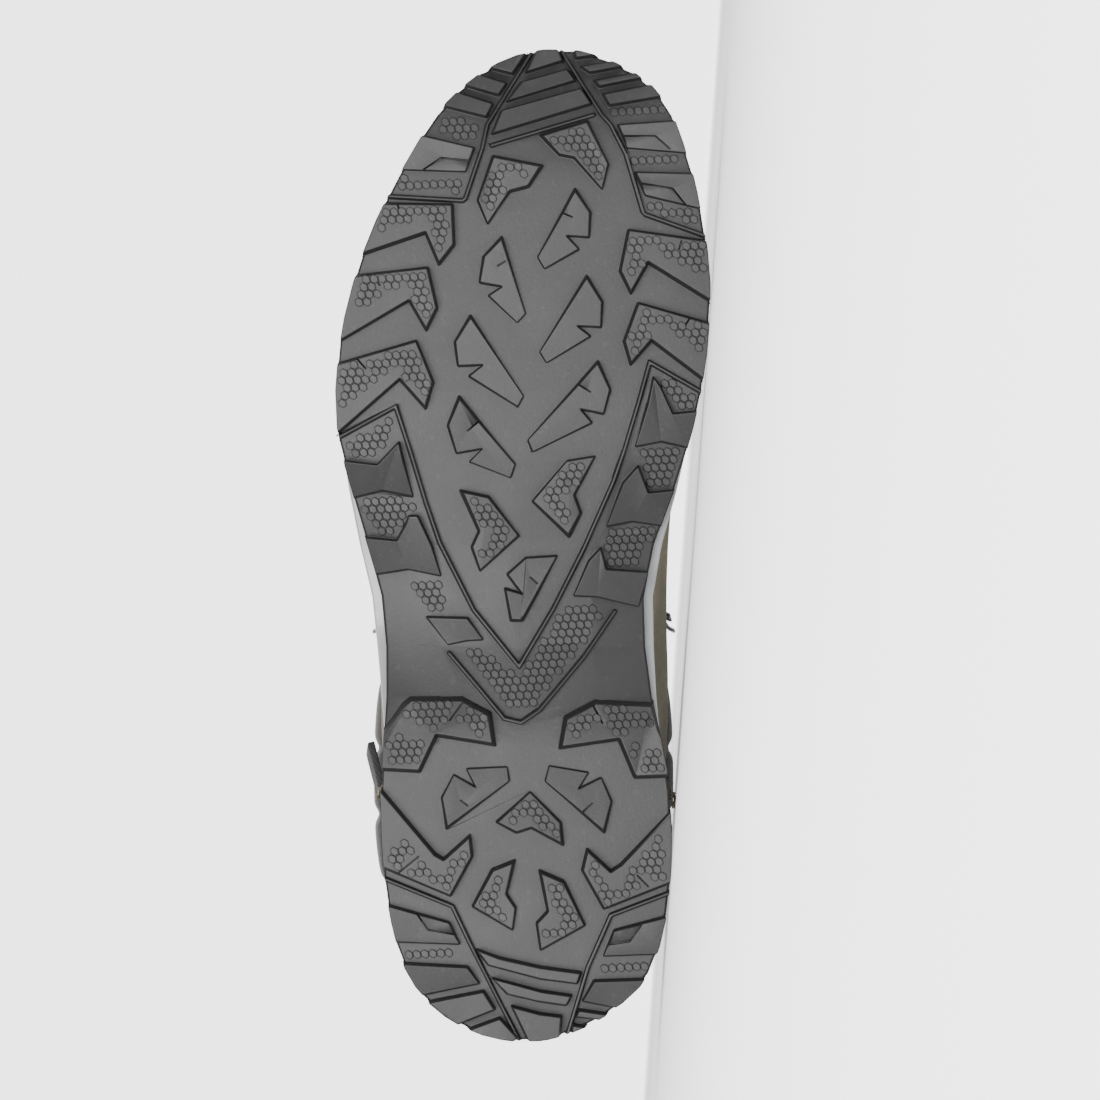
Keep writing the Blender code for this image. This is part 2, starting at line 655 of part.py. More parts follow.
@functools.lru_cache(maxsize=None)
def half_loop(row, side):
    """One half of a section from the front centre to the back centre, and its length so far."""
    section = section_at(row)
    if side > 0:
        half = section.ball_inner * ball_width + section.shaft_inner * shaft_width
    else:
        half = section.ball_outer * ball_width + section.shaft_outer * shaft_width
    points = []
    for angle in np.linspace(0, math.pi, 97):
        t = (1 + math.cos(angle)) / 2
        share = section.back + (section.front - section.back) * t
        rise = section.back_rise + (section.front_rise - section.back_rise) * t
        foot = footbed(share) + feather_gap
        if t > section.widest:
            off = (t - section.widest) / (1 - section.widest)
            power = section.round_front
        else:
            off = (section.widest - t) / section.widest
            power = section.round_back
        oval = max(0.0, 1 - off**power) ** (1 / power)
        plan = abs(edge(side, t) - centre(t)) / widest_plan(side)
        width = half * (section.plan * plan + (1 - section.plan) * oval)
        points.append(
            (
                share * sole_length,
                centre(share) + side * width,
                foot + rise * (collar_height - foot),
            )
        )
    points = np.array(points)
    points[0, 1] = centre(section.front)
    points[-1, 1] = centre(section.back)
    steps = np.linalg.norm(np.diff(points, axis=0), axis=1)
    return points, np.concatenate(([0.0], np.cumsum(steps)))


def surface(row, reach):
    """The upper's outside at a section number and a signed length round from the front."""
    points, length = half_loop(row, 1 if reach >= 0 else -1)
    return np.array([np.interp(abs(reach), length, points[:, k]) for k in range(3)])


def outward(row, reach):
    """The upper's outward normal there."""
    ahead = 0.002
    low = max(row - 0.1, 0.0)
    high = min(row + 0.1, float(TOP_ROW))
    round_it = surface(row, reach + ahead) - surface(row, reach - ahead)
    total = half_loop(row, 1 if reach >= 0 else -1)[1][-1]
    if abs(reach) > total - ahead:
        round_it = np.array((0.0, -1.0, 0.0))
    share_round = reach / total
    low_total = half_loop(low, 1 if reach >= 0 else -1)[1][-1]
    high_total = half_loop(high, 1 if reach >= 0 else -1)[1][-1]
    rising = surface(high, share_round * high_total) - surface(low, share_round * low_total)
    normal = np.cross(round_it, rising)
    return normal / np.linalg.norm(normal)


@functools.lru_cache(maxsize=None)
def column_reach(row, column):
    """The length round from the front at which a whole column lies."""
    side = 1 if column >= 0 else -1
    points, length = half_loop(row, side)
    section = section_at(row)
    widths = np.abs(points[:, 1] - np.array([centre(a / sole_length) for a in points[:, 0]]))
    widest = int(np.argmax(widths))
    throat = float(np.interp(section.gap * sole_length, widths[: widest + 1], length[: widest + 1]))
    stay = throat + stay_width
    number = abs(column)
    if number <= THROAT_COLUMN:
        reach = throat * number / THROAT_COLUMN
    elif number <= STAY_COLUMN:
        reach = throat + stay_width * (number - THROAT_COLUMN) / (STAY_COLUMN - THROAT_COLUMN)
    else:
        reach = stay + (length[-1] - stay) * (number - STAY_COLUMN) / SIDE_COLUMNS
    return side * reach


@functools.lru_cache(maxsize=None)
def net_point(row, column):
    """(point, normal) of the net at a row of NET_ROWS and a whole column."""
    reach = column_reach(row, column)
    normal = outward(row, reach)
    if row == 0:
        normal[2] = 0.0
        normal = normal / np.linalg.norm(normal)
    return surface(row, reach), normal


def seat(row, column):
    """(point, normal) on the net's flat faces between its rows and columns."""
    high = min(range(len(NET_ROWS)), key=lambda k: (NET_ROWS[k] < row, NET_ROWS[k]))
    high = max(high, 1)
    low = high - 1
    up = (row - NET_ROWS[low]) / (NET_ROWS[high] - NET_ROWS[low])
    first = math.floor(column)
    over = column - first
    point = np.zeros(3)
    normal = np.zeros(3)
    for number, weight in ((low, 1 - up), (high, up)):
        for place, part in ((first, 1 - over), (first + 1, over)):
            if weight * part == 0:
                continue
            p, n = net_point(NET_ROWS[number], place)
            point += weight * part * p
            normal += weight * part * n
    return point, normal / np.linalg.norm(normal)


def shell(rows, columns, inside, outside, keep=lambda row, column: True, closed=False, lift=None):
    """A wall that follows the net between two offsets, closed round its edges."""
    build = bmesh.new()
    layers = []
    for offset in (inside, outside):
        layer = {}
        for row in rows:
            for column in columns:
                within = min(row, TOP_ROW)
                point, normal = net_point(within, column)
                depth = offset(row, column) if callable(offset) else offset
                place = point + normal * depth
                if row == 0:
                    place[2] = footbed(min(max(place[0] / sole_length, 0.0), 1.0)) + feather_gap
                if lift and row > TOP_ROW:
                    place = place + np.array(lift) * (row - TOP_ROW)
                layer[row, column] = build.verts.new(place)
        layers.append(layer)
    pairs = list(zip(columns, columns[1:]))
    if closed:
        pairs.append((columns[-1], columns[0]))
    quads = [
        (low, high, left, right)
        for low, high in zip(rows, rows[1:])
        for left, right in pairs
        if keep(low, (left, right))
    ]
    borders = {}
    for low, high, left, right in quads:
        corners = ((low, left), (low, right), (high, right), (high, left))
        for layer, flip in ((layers[0], True), (layers[1], False)):
            a, b, c, d = (layer[corner] for corner in corners)
            for face in ((a, b, c), (a, c, d)):
                build.faces.new(face[::-1] if flip else face)
        for start, end in zip(corners, corners[1:] + corners[:1]):
            if (end, start) in borders:
                del borders[end, start]
            else:
                borders[start, end] = True
    for start, end in borders:
        build.faces.new((layers[0][start], layers[0][end], layers[1][end], layers[1][start]))
    loose = [v for v in build.verts if not v.link_faces]
    bmesh.ops.delete(build, geom=loose, context="VERTS")
    bmesh.ops.recalc_face_normals(build, faces=build.faces)
    return build


RING_OF_COLUMNS = list(range(-LAST_COLUMN + 1, LAST_COLUMN + 1))


def make_upper(finish):
    def has_wall(row, pair):
        in_throat = max(abs(pair[0]), abs(pair[1])) <= THROAT_COLUMN
        return not (in_throat and row >= THROAT_ROW)

    body = shell(NET_ROWS, RING_OF_COLUMNS, -upper_wall, 0.0, has_wall, closed=True)
    return add_object("upper", body, finish, sharp=50)


def net_rows(first, last):
    return [row for row in NET_ROWS if first <= row <= last]


def make_overlays(rubber, leather):
    """Toe rand, heel counter and the two eyestays, each a layer on the upper's outside."""
    front = list(range(-STAY_COLUMN - 4, STAY_COLUMN + 5))
    rand_top = 1.5
    body = shell(net_rows(0, rand_top), front, clearance, clearance + rand_thickness)
    made = [add_object("toe_rand", body, rubber, sharp=50)]
    back = [c for c in RING_OF_COLUMNS if c >= LAST_COLUMN - 4]
    back += [c for c in RING_OF_COLUMNS if c <= -LAST_COLUMN + 4]
    body = shell(net_rows(0, 4), back, clearance, clearance + counter_thickness)
    made.append(add_object("heel_counter", body, leather, sharp=50))
    for name, columns in (
        ("eyestay_inner", (2, 3, 4)),
        ("eyestay_outer", (-4, -3, -2)),
    ):
        body = shell(net_rows(6, TOP_ROW), columns, clearance, clearance + stay_thickness)
        made.append(add_object(name, body, leather, sharp=50))
    return made


def make_cuff(finish):
    """A padded ring on the collar, open at the throat."""
    columns = list(range(THROAT_COLUMN, LAST_COLUMN + 1))
    columns += list(range(-LAST_COLUMN + 1, -THROAT_COLUMN + 1))
    build = bmesh.new()
    rings = []
    for column in columns:
        point, normal = net_point(TOP_ROW, column)
        level = Vector((normal[0], normal[1], 0.0)).normalized()
        at_end = abs(column) == THROAT_COLUMN
        size = 0.86 if at_end else 1.0
        ring = []
        for spot in CUFF_SECTION:
            place = Vector(point) + level * spot.out * cuff_thickness * size
            place.z += cuff_seat + spot.up * cuff_height * size
            ring.append(build.verts.new(place))
        rings.append(ring)
    count = len(CUFF_SECTION)
    for first, second in zip(rings, rings[1:]):
        for k in range(count):
            m = (k + 1) % count
            build.faces.new((first[k], first[m], second[m], second[k]))
    build.faces.new(rings[0])
    build.faces.new(rings[-1][::-1])
    bmesh.ops.recalc_face_normals(build, faces=build.faces)
    return add_object("cuff", build, finish, sharp=60)


TONGUE_TOP_ROWS = 2


def make_tongue(finish):
    """A padded sheet behind the throat, which moves in behind the cuff and stands above it."""
    def behind(row):
        deeper = min(max((row - 10) / 2.5, 0.0), 1.0)
        deeper = deeper * deeper * (3 - 2 * deeper)
        return -(upper_wall + 2 * clearance) - deeper * (cuff_inside - upper_wall)

    rows = net_rows(5, TOP_ROW) + [TOP_ROW + k + 1 for k in range(TONGUE_TOP_ROWS)]
    columns = list(range(-STAY_COLUMN, STAY_COLUMN + 1))
    body = shell(
        rows,
        columns,
        lambda row, column: behind(row) - tongue_thickness,
        lambda row, column: behind(row),
        lift=(0.0, 0.0, tongue_height / TONGUE_TOP_ROWS),
    )
    return add_object("tongue", body, finish, sharp=60)


def make_insole(finish):
    """A thin slab inside the upper's foot."""
    build = bmesh.new()
    layers = []
    spread = upper_wall + 2 * clearance
    for rise in (0.0, insole_thickness):
        layer = {}
        for column in RING_OF_COLUMNS:
            point, normal = net_point(0, column)
            level = np.array((normal[0], normal[1], 0.0))
            level = level / np.linalg.norm(level)
            place = point - level * (spread + (0.001 if rise else 0.0))
            share = min(max(place[0] / sole_length, 0.0), 1.0)
            place[2] = footbed(share) + feather_gap + clearance + rise
            layer[column] = build.verts.new(place)
        layers.append(layer)
    for layer, flip in ((layers[0], True), (layers[1], False)):
        for number in range(LAST_COLUMN):
            corners = [layer[-number], layer[number], layer[number + 1]]
            if number + 1 < LAST_COLUMN:
                corners.append(layer[-number - 1])
            if number == 0:
                corners = corners[1:]
            build.faces.new(corners[::-1] if flip else corners)
    ring = RING_OF_COLUMNS
    for left, right in zip(ring, ring[1:] + ring[:1]):
        build.faces.new((layers[0][left], layers[0][right], layers[1][right], layers[1][left]))
    bmesh.ops.recalc_face_normals(build, faces=build.faces)
    return add_object("insole", build, finish)


# Small pieces in a local frame on the upper

def local_frame(row, column):
    """(origin, out, up, away) on the net: away points from the throat round the shaft."""
    point, normal = seat(row, column)
    above, _ = seat(min(row + 0.25, TOP_ROW), column)
    below, _ = seat(max(row - 0.25, 0), column)
    out = Vector(normal)
    up = Vector(above - below)
    up = (up - out * up.dot(out)).normalized()
    away = out.cross(up) if column < 0 else up.cross(out)
    return Vector(point), out, up, away


def tube(build, points, radius, sides, closed=False):
    """A round bar along the points, with its section carried along without twist."""
    points = [Vector(point) for point in points]
    count = len(points)
    rings = []
    reference = None
    for number, here in enumerate(points):
        before = points[(number - 1) % count] if closed or number else here
        after = points[(number + 1) % count] if closed or number < count - 1 else here
        direction = (after - before).normalized()
        if reference is None:
            reference = direction.orthogonal()
        reference = (reference - direction * reference.dot(direction)).normalized()
        across = direction.cross(reference)
        ring = []
        for k in range(sides):
            angle = 2 * math.pi * k / sides
            place = here + reference * math.cos(angle) * radius + across * math.sin(angle) * radius
            ring.append(build.verts.new(place))
        rings.append(ring)
    pairs = list(zip(rings, rings[1:]))
    if closed:
        pairs.append((rings[-1], rings[0]))
    else:
        build.faces.new(rings[0][::-1])
        build.faces.new(rings[-1])
    for first, second in pairs:
        for k in range(sides):
            m = (k + 1) % sides
            build.faces.new((first[k], first[m], second[m], second[k]))
    bmesh.ops.recalc_face_normals(build, faces=build.faces)


def ribbon(build, path, thickness, sideways, width):
    """A strip along a flat path, as thick as given and as wide as given to both sides."""
    rows = []
    count = len(path)
    for number, here in enumerate(path):
        before = path[max(number - 1, 0)]
        after = path[min(number + 1, count - 1)]
        direction = (after - before).normalized()
        normal = direction.cross(sideways).normalized()
        rows.append(
            [
                build.verts.new(here + normal * thickness / 2 * a + sideways * width / 2 * b)
                for a, b in ((-1, -1), (1, -1), (1, 1), (-1, 1))
            ]
        )
    for first, second in zip(rows, rows[1:]):
        for k in range(4):
            m = (k + 1) % 4
            build.faces.new((first[k], first[m], second[m], second[k]))
    build.faces.new(rows[0][::-1])
    build.faces.new(rows[-1])
    bmesh.ops.recalc_face_normals(build, faces=build.faces)


stay_top = clearance + stay_thickness
lace_level = stay_top + clearance + ring_wire + (ring_height - 1.5 * ring_wire) / 2


def make_ring(name, row, column, finish):
    """A D-ring that stands on the eyestay: a straight bar below and an arc above it."""
    origin, out, up, away = local_frame(row, column)
    foot = origin + out * (stay_top + clearance + ring_wire / 2)
    half = (ring_width - ring_wire) / 2
    reach = ring_height - ring_wire / 2
    points = [foot + up * half * part for part in (-0.85, 0.0, 0.85)]
    for angle in range(15, 180, 30):
        turn = math.radians(angle)
        points.append(foot + up * half * math.cos(turn) + out * reach * (0.12 + 0.88 * math.sin(turn)))
    build = bmesh.new()
    tube(build, points, ring_wire / 2, 6, closed=True)
    return add_object(name, build, finish, sharp=60)


def make_hook(name, row, column, finish):
    """A speed hook: a plate on the eyestay whose throat end rises and turns back over it."""
    origin, out, up, away = local_frame(row, column)
    plate = stay_top + clearance + hook_thickness / 2
    lip = plate + hook_thickness + hook_mouth
    profile_points = (
        (0.0055, plate),
        (-0.0035, plate),
        (-0.0054, plate + 0.30 * (lip - plate)),
        (-0.0054, plate + 0.70 * (lip - plate)),
        (-0.0036, lip),
        (0.0042, lip + 0.0004),
        (0.0062, lip + 0.0015),
    )
    path = [origin + away * a + out * b for a, b in profile_points]
    build = bmesh.new()
    ribbon(build, path, hook_thickness, up, hook_width)
    return add_object(name, build, finish, sharp=60)


# The lace

def ring_turn(row, column):
    """The lace through a D-ring: under its arc, round it and back above it."""
    origin, out, up, away = local_frame(row, column)
    top = stay_top + clearance + ring_height + (ring_wire + lace_diameter) / 2 + 2 * clearance
    return [
        origin + out * (lace_level + 0.0002) - away * 0.0050 - up * 0.0020,
        origin + out * lace_level,
        origin + out * (lace_level + 0.0010) + away * 0.0032,
        origin + out * ((lace_level + top) / 2) + away * 0.0046,
        origin + out * (top - 0.0008) + away * 0.0032,
        origin + out * top,
        origin + out * (top - 0.0012) - away * 0.0055 + up * 0.0030,
    ]


def hook_turn(row, column, is_last):
    """The lace in a hook's mouth, round its stem from below to above."""
    origin, out, up, away = local_frame(row, column)
    level = stay_top + clearance + hook_thickness + hook_mouth / 2
    points = [
        origin + out * level - up * 0.0085 - away * 0.0085,
        origin + out * level - up * 0.0052 - away * 0.0025,
        origin + out * level - up * 0.0022 + away * 0.0003,
        origin + out * level + up * 0.0022 + away * 0.0003,
    ]
    if is_last:
        points.append(origin + out * level + up * 0.0050 + away * 0.0010)
    else:
        points.append(origin + out * level + up * 0.0052 - away * 0.0025)
        points.append(origin + out * level + up * 0.0085 - away * 0.0085)
    return points


def over_throat(row, column):
    """A place of the lace between two eyelets, clear of the eyestays and the tongue."""
    point, normal = seat(row, column)
    rise = stay_top + lace_diameter / 2 + 0.0014
    return Vector(point + normal * rise)


def lace_strand(first_side):
    """One half of the lace from the middle of its lowest bar to a top hook."""
    eyelets = [("ring", row) for row in RING_ROWS] + [("hook", row) for row in HOOK_ROWS]
    points = [over_throat(RING_ROWS[0], -0.6 * first_side), over_throat(RING_ROWS[0], 0.9 * first_side)]
    side = first_side
    for number, (kind, row) in enumerate(eyelets):
        column = side * LACING_COLUMN
        is_last = number == len(eyelets) - 1
        if kind == "ring":
            points += ring_turn(row, column)
        else:
            points += hook_turn(row, column, is_last)
        if is_last:
            break
        gain = eyelets[number + 1][1] - row
        for part in (0.28, 0.5, 0.72):
            place = 1 - 2 * part
            points.append(over_throat(row + gain * part, side * place * THROAT_COLUMN))
        side = -side
    return points


def make_lace(finish):
    first = bmesh.new()
    tube(first, lace_strand(1), lace_diameter / 2, 6)
    lace = add_object("lace", first, finish, sharp=60)
    second = bmesh.new()
    tube(second, lace_strand(-1), lace_diameter / 2, 6)
    other = hide_helper(add_object("lace_second_half", second, finish))
    join = lace.modifiers.new("crossings", "BOOLEAN")
    join.operation = "UNION"
    join.solver = "EXACT"
    join.use_self = True
    join.object = other
    return lace


# Webbing

def make_pull_loop(finish):
    """A loop that straddles the cuff at the back, sewn on outside and inside."""
    point, _ = net_point(TOP_ROW, LAST_COLUMN)
    base = Vector(point)
    out = 0.26 * cuff_thickness + clearance + pull_thickness / 2
    inner = -0.70 * cuff_thickness - clearance - pull_thickness / 2
    crown = cuff_height + pull_reach
    course = (
        (out + 0.0002, 0.30 * cuff_height),
        (out + 0.0004, 0.60 * cuff_height),
        (out + 0.0002, cuff_height),
        (out - 0.0015, crown - 0.005),
        ((out + inner) / 2, crown),
        (inner + 0.0018, crown - 0.005),
        (inner - 0.0004, cuff_height),
        (inner - 0.0007, 0.50 * cuff_height),
    )
    path = [base + Vector((-a, 0.0, b)) for a, b in course]
    build = bmesh.new()
    ribbon(build, path, pull_thickness, Vector((0.0, 1.0, 0.0)), pull_width)
    return add_object("pull_loop", build, finish, sharp=60)


def make_side_tab(finish):
    """A folded tab on the outer side, sewn on at its heel end and standing off at its fold."""
    row = 11.5
    column = -(STAY_COLUMN + 4.6)
    origin, out, up, away = local_frame(row, column)
    lift = clearance + tab_thickness / 2
    course = (
        (0.0, lift + 0.0002),
        (0.25 * tab_length, lift + 0.0008),
        (0.6 * tab_length, lift + 0.45 * (tab_reach - lift)),
        (tab_length, tab_reach - tab_thickness / 2),
    )
    path = [origin - away * a + out * b for a, b in course]
    build = bmesh.new()
    ribbon(build, path, tab_thickness, up, tab_height)
    return add_object("side_tab", build, finish, sharp=60)


# Laying the boot down

HULL_UNIT = 0.001


def resting_turn(pieces):
    """The turn that puts the face that the boot rests on, on its inner side, flat on the floor."""
    graph = bpy.context.evaluated_depsgraph_get()
    cloud = bmesh.new()
    for piece in pieces:
        mesh = piece.evaluated_get(graph).to_mesh()
        for vertex in mesh.vertices:
            cloud.verts.new(vertex.co / HULL_UNIT)
        piece.evaluated_get(graph).to_mesh_clear()
    bmesh.ops.convex_hull(cloud, input=cloud.verts)
    bmesh.ops.recalc_face_normals(cloud, faces=cloud.faces)
    weight = Vector((0.42 * sole_length, 0.0, 0.36 * collar_height)) / HULL_UNIT
    down = Vector((0.0, 1.0, 0.0))
    for _ in range(4):
        down = nearest_face_normal(cloud, weight, down)
    cloud.free()
    up = -down
    along = Vector((1.0, 0.0, 0.0))
    along = (along - up * along.dot(up)).normalized()
    across = up.cross(along)
    return Matrix((along, across, up)).to_4x4()


def nearest_face_normal(hull, start, direction):
    """The outward normal of the hull's face that a line from start meets."""
    best = None
    for face in hull.faces:
        slope = face.normal.dot(direction)
        if slope <= 1e-6:
            continue
        distance = face.normal.dot(face.verts[0].co - start) / slope
        if best is None or distance < best[0]:
            best = (distance, face.normal.copy())
    return best[1]


def lay_down(pieces):
    turn = resting_turn(pieces)
    graph = bpy.context.evaluated_depsgraph_get()
    places = []
    for piece in pieces:
        mesh = piece.evaluated_get(graph).to_mesh()
        places += [turn @ vertex.co for vertex in mesh.vertices]
        piece.evaluated_get(graph).to_mesh_clear()
    places = np.array(places)
    low = places.min(axis=0)
    high = places.max(axis=0)
    middle = (low + high) / 2
    lying = bpy.data.objects.new("lying_boot", None)
    bpy.context.collection.objects.link(lying)
    lying.matrix_world = Matrix.Translation((-middle[0], -middle[1], -low[2])) @ turn
    for made in list(bpy.context.collection.objects):
        if made is not lying:
            made.parent = lying


def main():
    for old in list(bpy.data.objects):
        bpy.data.objects.remove(old)
    black_rubber = material("black_rubber", (0.035, 0.036, 0.038), 0.55)
    grey_foam = material("grey_foam", (0.42, 0.42, 0.44), 0.45)
    olive_leather = material("olive_nubuck", (0.15, 0.13, 0.085), 0.8)
    dark_leather = material("dark_leather", (0.07, 0.055, 0.04), 0.6)
    cuff_leather = material("cuff_leather", (0.05, 0.045, 0.04), 0.6)
    lining = material("lining", (0.09, 0.085, 0.07), 0.95)
    gunmetal = material("gunmetal", (0.35, 0.35, 0.36), 0.3, 1.0)
    lace_cord = material("lace_cord", (0.16, 0.12, 0.07), 0.8)
    black_webbing = material("black_webbing", (0.02, 0.02, 0.021), 0.9)
    pieces = [
        make_outsole(black_rubber),
        make_midsole(grey_foam),
        make_upper(olive_leather),
        *make_overlays(black_rubber, dark_leather),
        make_cuff(cuff_leather),
        make_tongue(olive_leather),
        make_insole(lining),
        make_pull_loop(black_webbing),
        make_side_tab(black_webbing),
        make_lace(lace_cord),
    ]
    for side, name in ((1, "inner"), (-1, "outer")):
        column = side * LACING_COLUMN
        for number, row in enumerate(RING_ROWS):
            pieces.append(make_ring(f"ring_{name}_{number + 1}", row, column, gunmetal))
        for number, row in enumerate(HOOK_ROWS):
            pieces.append(make_hook(f"hook_{name}_{number + 1}", row, column, gunmetal))
    bpy.context.view_layer.update()
    lay_down(pieces)


main()
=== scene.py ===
# %% [markdown]
# # A hunting boot, dressed
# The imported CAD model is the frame: every piece in it has its real size and place, in metres. This
# lesson dresses it. Where the CAD shape is final, a piece only gets a finish. Where the real piece is
# softer, finer or more detailed, a copy is refined and stands for the CAD piece. The boot lies on its
# inner side, and the camera looks straight at the sole.

import math

import bmesh
import bpy
import numpy as np
from mathutils import Matrix, Vector, geometry
from mathutils.bvhtree import BVHTree
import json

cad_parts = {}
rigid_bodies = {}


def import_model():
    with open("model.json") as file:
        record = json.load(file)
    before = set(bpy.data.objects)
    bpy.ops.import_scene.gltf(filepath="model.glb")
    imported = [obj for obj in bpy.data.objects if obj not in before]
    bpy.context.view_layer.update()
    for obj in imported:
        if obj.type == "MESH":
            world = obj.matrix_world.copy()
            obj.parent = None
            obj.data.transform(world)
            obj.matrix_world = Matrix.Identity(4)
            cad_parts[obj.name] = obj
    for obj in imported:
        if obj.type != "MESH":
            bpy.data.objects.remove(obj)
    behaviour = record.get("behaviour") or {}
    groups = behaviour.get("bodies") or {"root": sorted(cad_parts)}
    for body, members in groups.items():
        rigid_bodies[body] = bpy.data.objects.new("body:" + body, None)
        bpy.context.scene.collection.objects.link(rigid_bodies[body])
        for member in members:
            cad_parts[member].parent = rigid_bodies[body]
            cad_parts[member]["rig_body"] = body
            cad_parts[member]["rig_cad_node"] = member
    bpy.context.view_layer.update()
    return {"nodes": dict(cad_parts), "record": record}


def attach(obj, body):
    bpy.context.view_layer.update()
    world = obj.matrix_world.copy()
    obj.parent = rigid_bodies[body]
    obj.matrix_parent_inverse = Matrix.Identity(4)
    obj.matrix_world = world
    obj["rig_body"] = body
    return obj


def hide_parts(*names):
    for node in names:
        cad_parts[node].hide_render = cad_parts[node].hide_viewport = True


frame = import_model()
bpy.ops.object.select_all(action="DESELECT")
print("pieces in the frame:", len(frame["nodes"]))

# %% [markdown]
# ## The boot's own directions
# A bootmaker measures along the sole, across it and up from the ground, not in a lying boot's
# directions. The record names two flat spots of the tread, one at the heel and one at the forefoot,
# whose places on the sole are known. Those and the ground's direction give the whole turn, so the
# rest of the lesson can speak of along, across and up.

# %% The turn from the standing boot to the lying one
SOLE_LENGTH = 0.308
BALL_WIDTH = 0.1165
HEEL_SPOT = Vector((0.054, -0.0206, 0.0))
FOREFOOT_SPOT = Vector((0.2330, -0.0385, 0.0))

mounts = {mount["name"]: mount for mount in frame["record"]["mounts"]}
heel_spot = Vector(mounts["heel_tread"]["pos_m"])
forefoot_spot = Vector(mounts["forefoot_tread"]["pos_m"])
up = -Vector(mounts["heel_tread"]["axis"])


def directions(line, upward):
    first = line.normalized()
    third = (upward - first * upward.dot(first)).normalized()
    return Matrix((first, third.cross(first), third)).transposed()


lying = directions(forefoot_spot - heel_spot, up)
standing = directions(FOREFOOT_SPOT - HEEL_SPOT, Vector((0, 0, 1)))
turn = lying @ standing.inverted()
BOOT = Matrix.Translation(heel_spot - turn @ HEEL_SPOT) @ turn.to_4x4()
UNBOOT = BOOT.inverted()
print("the sole's normal:", [round(v, 4) for v in turn @ Vector((0, 0, 1))])


def at(along, across, height):
    """A place of the standing boot, in the lying boot's frame."""
    return BOOT @ Vector((along, across, height))


def along_across(x, y):
    """A place of the sole's drawing: y runs down from the toe, x towards the inner side."""
    return (1043 - y) / 998 * SOLE_LENGTH, (x - 525) / 378 * BALL_WIDTH


# %% [markdown]
# ## Shader sums
# A finish is mostly arithmetic on a few patterns. Drawing that with nodes by hand is slow to read, so
# one small class wraps a socket: a sum of two wires adds its Math node, and one method adds any other
# node from its type, its settings and what its sockets get.

# %% One class for shader maths
class Wire:
    def __init__(self, tree, socket=None):
        self.tree = tree
        self.socket = socket

    def node(self, kind, inputs=None, output=0, stops=None, **settings):
        made = self.tree.nodes.new("ShaderNode" + kind)
        for name, value in settings.items():
            setattr(made, name, value)
        if stops:
            for stop in range(len(stops) - 2):
                made.color_ramp.elements.new(0.5)
            for element, (where, grey) in zip(made.color_ramp.elements, stops):
                element.position = where
                element.color = (grey, grey, grey, 1.0)
        for key, value in (inputs or {}).items():
            if isinstance(value, Wire):
                self.tree.links.new(value.socket, made.inputs[key])
            else:
                made.inputs[key].default_value = value
        return Wire(self.tree, made.outputs[output])

    def maths(self, operation, *values):
        return self.node("Math", dict(enumerate(values)), operation=operation)

    def __add__(self, other):
        return self.maths("ADD", self, other)

    def __sub__(self, other):
        return self.maths("SUBTRACT", self, other)

    def __rsub__(self, other):
        return self.maths("SUBTRACT", other, self)

    def __mul__(self, other):
        return self.maths("MULTIPLY", self, other)

    __radd__ = __add__
    __rmul__ = __mul__


def mix(first, second, share):
    """A colour between two colours."""
    wire = next(value for value in (share, first, second) if isinstance(value, Wire))
    return wire.node("Mix", {0: share, 6: first, 7: second}, output=2, data_type="RGBA")


def grey(value):
    return (value, value, value, 1.0)


def ramp(wire, low, high):
    """0 below low, 1 above high, smooth between them."""
    return wire.node(
        "MapRange", {"Value": wire, "From Min": low, "From Max": high}, interpolation_type="SMOOTHSTEP"
    )


def noise(place, scale, detail=2.0, roughness=0.5):
    return place.node("TexNoise", {"Vector": place, "Scale": scale, "Detail": detail, "Roughness": roughness})


def cells(place, scale, feature="F1"):
    return place.node("TexVoronoi", {"Vector": place, "Scale": scale}, feature=feature)


def relief(height, size, strength=1.0, under=None):
    """A bump of the height, whose highest places stand size metres out."""
    inputs = {"Height": height, "Distance": size, "Strength": strength}
    if under:
        inputs["Normal"] = under
    return height.node("Bump", inputs)


def new_finish(name, **uniform):
    """A material, and the place on the standing boot as its first wire. Uniform sockets are set here."""
    made = bpy.data.materials.new(name)
    made.use_nodes = True
    surface = made.node_tree.nodes["Principled BSDF"]
    for socket, value in uniform.items():
        surface.inputs[socket.replace("_", " ")].default_value = value
    start = Wire(made.node_tree)
    coords = start.node("TexCoord", output="Object")
    mapping = {"Vector": coords, "Location": UNBOOT.translation, "Rotation": UNBOOT.to_euler()}
    return made, start.node("Mapping", mapping, vector_type="POINT")


def dress(finish, **wires):
    """Connects wires to the surface's sockets, such as Base_Color."""
    surface = finish.node_tree.nodes["Principled BSDF"]
    for socket, wire in wires.items():
        finish.node_tree.links.new(wire.socket, surface.inputs[socket.replace("_", " ")])
    return finish


# %% [markdown]
# ## Black rubber
# A moulded outsole is nearly black in itself. It looks grey where it faces a large soft light, because
# its skin is half glossy, and stays black on the steep walls of the lugs. So the colour is kept very
# dark and the grey is left to the gloss. A fine grain breaks the reflection, and a little chalky bloom
# lies in cloudy patches. On top of that the lug walls get painted shade: wherever the surface stops
# facing the ground squarely, the colour is darkened to near black and the rubber is made rougher.

# %% Rubber, for the sole and the toe rand
GROUNDWARD = (turn @ Vector((0, 0, -1))).normalized()


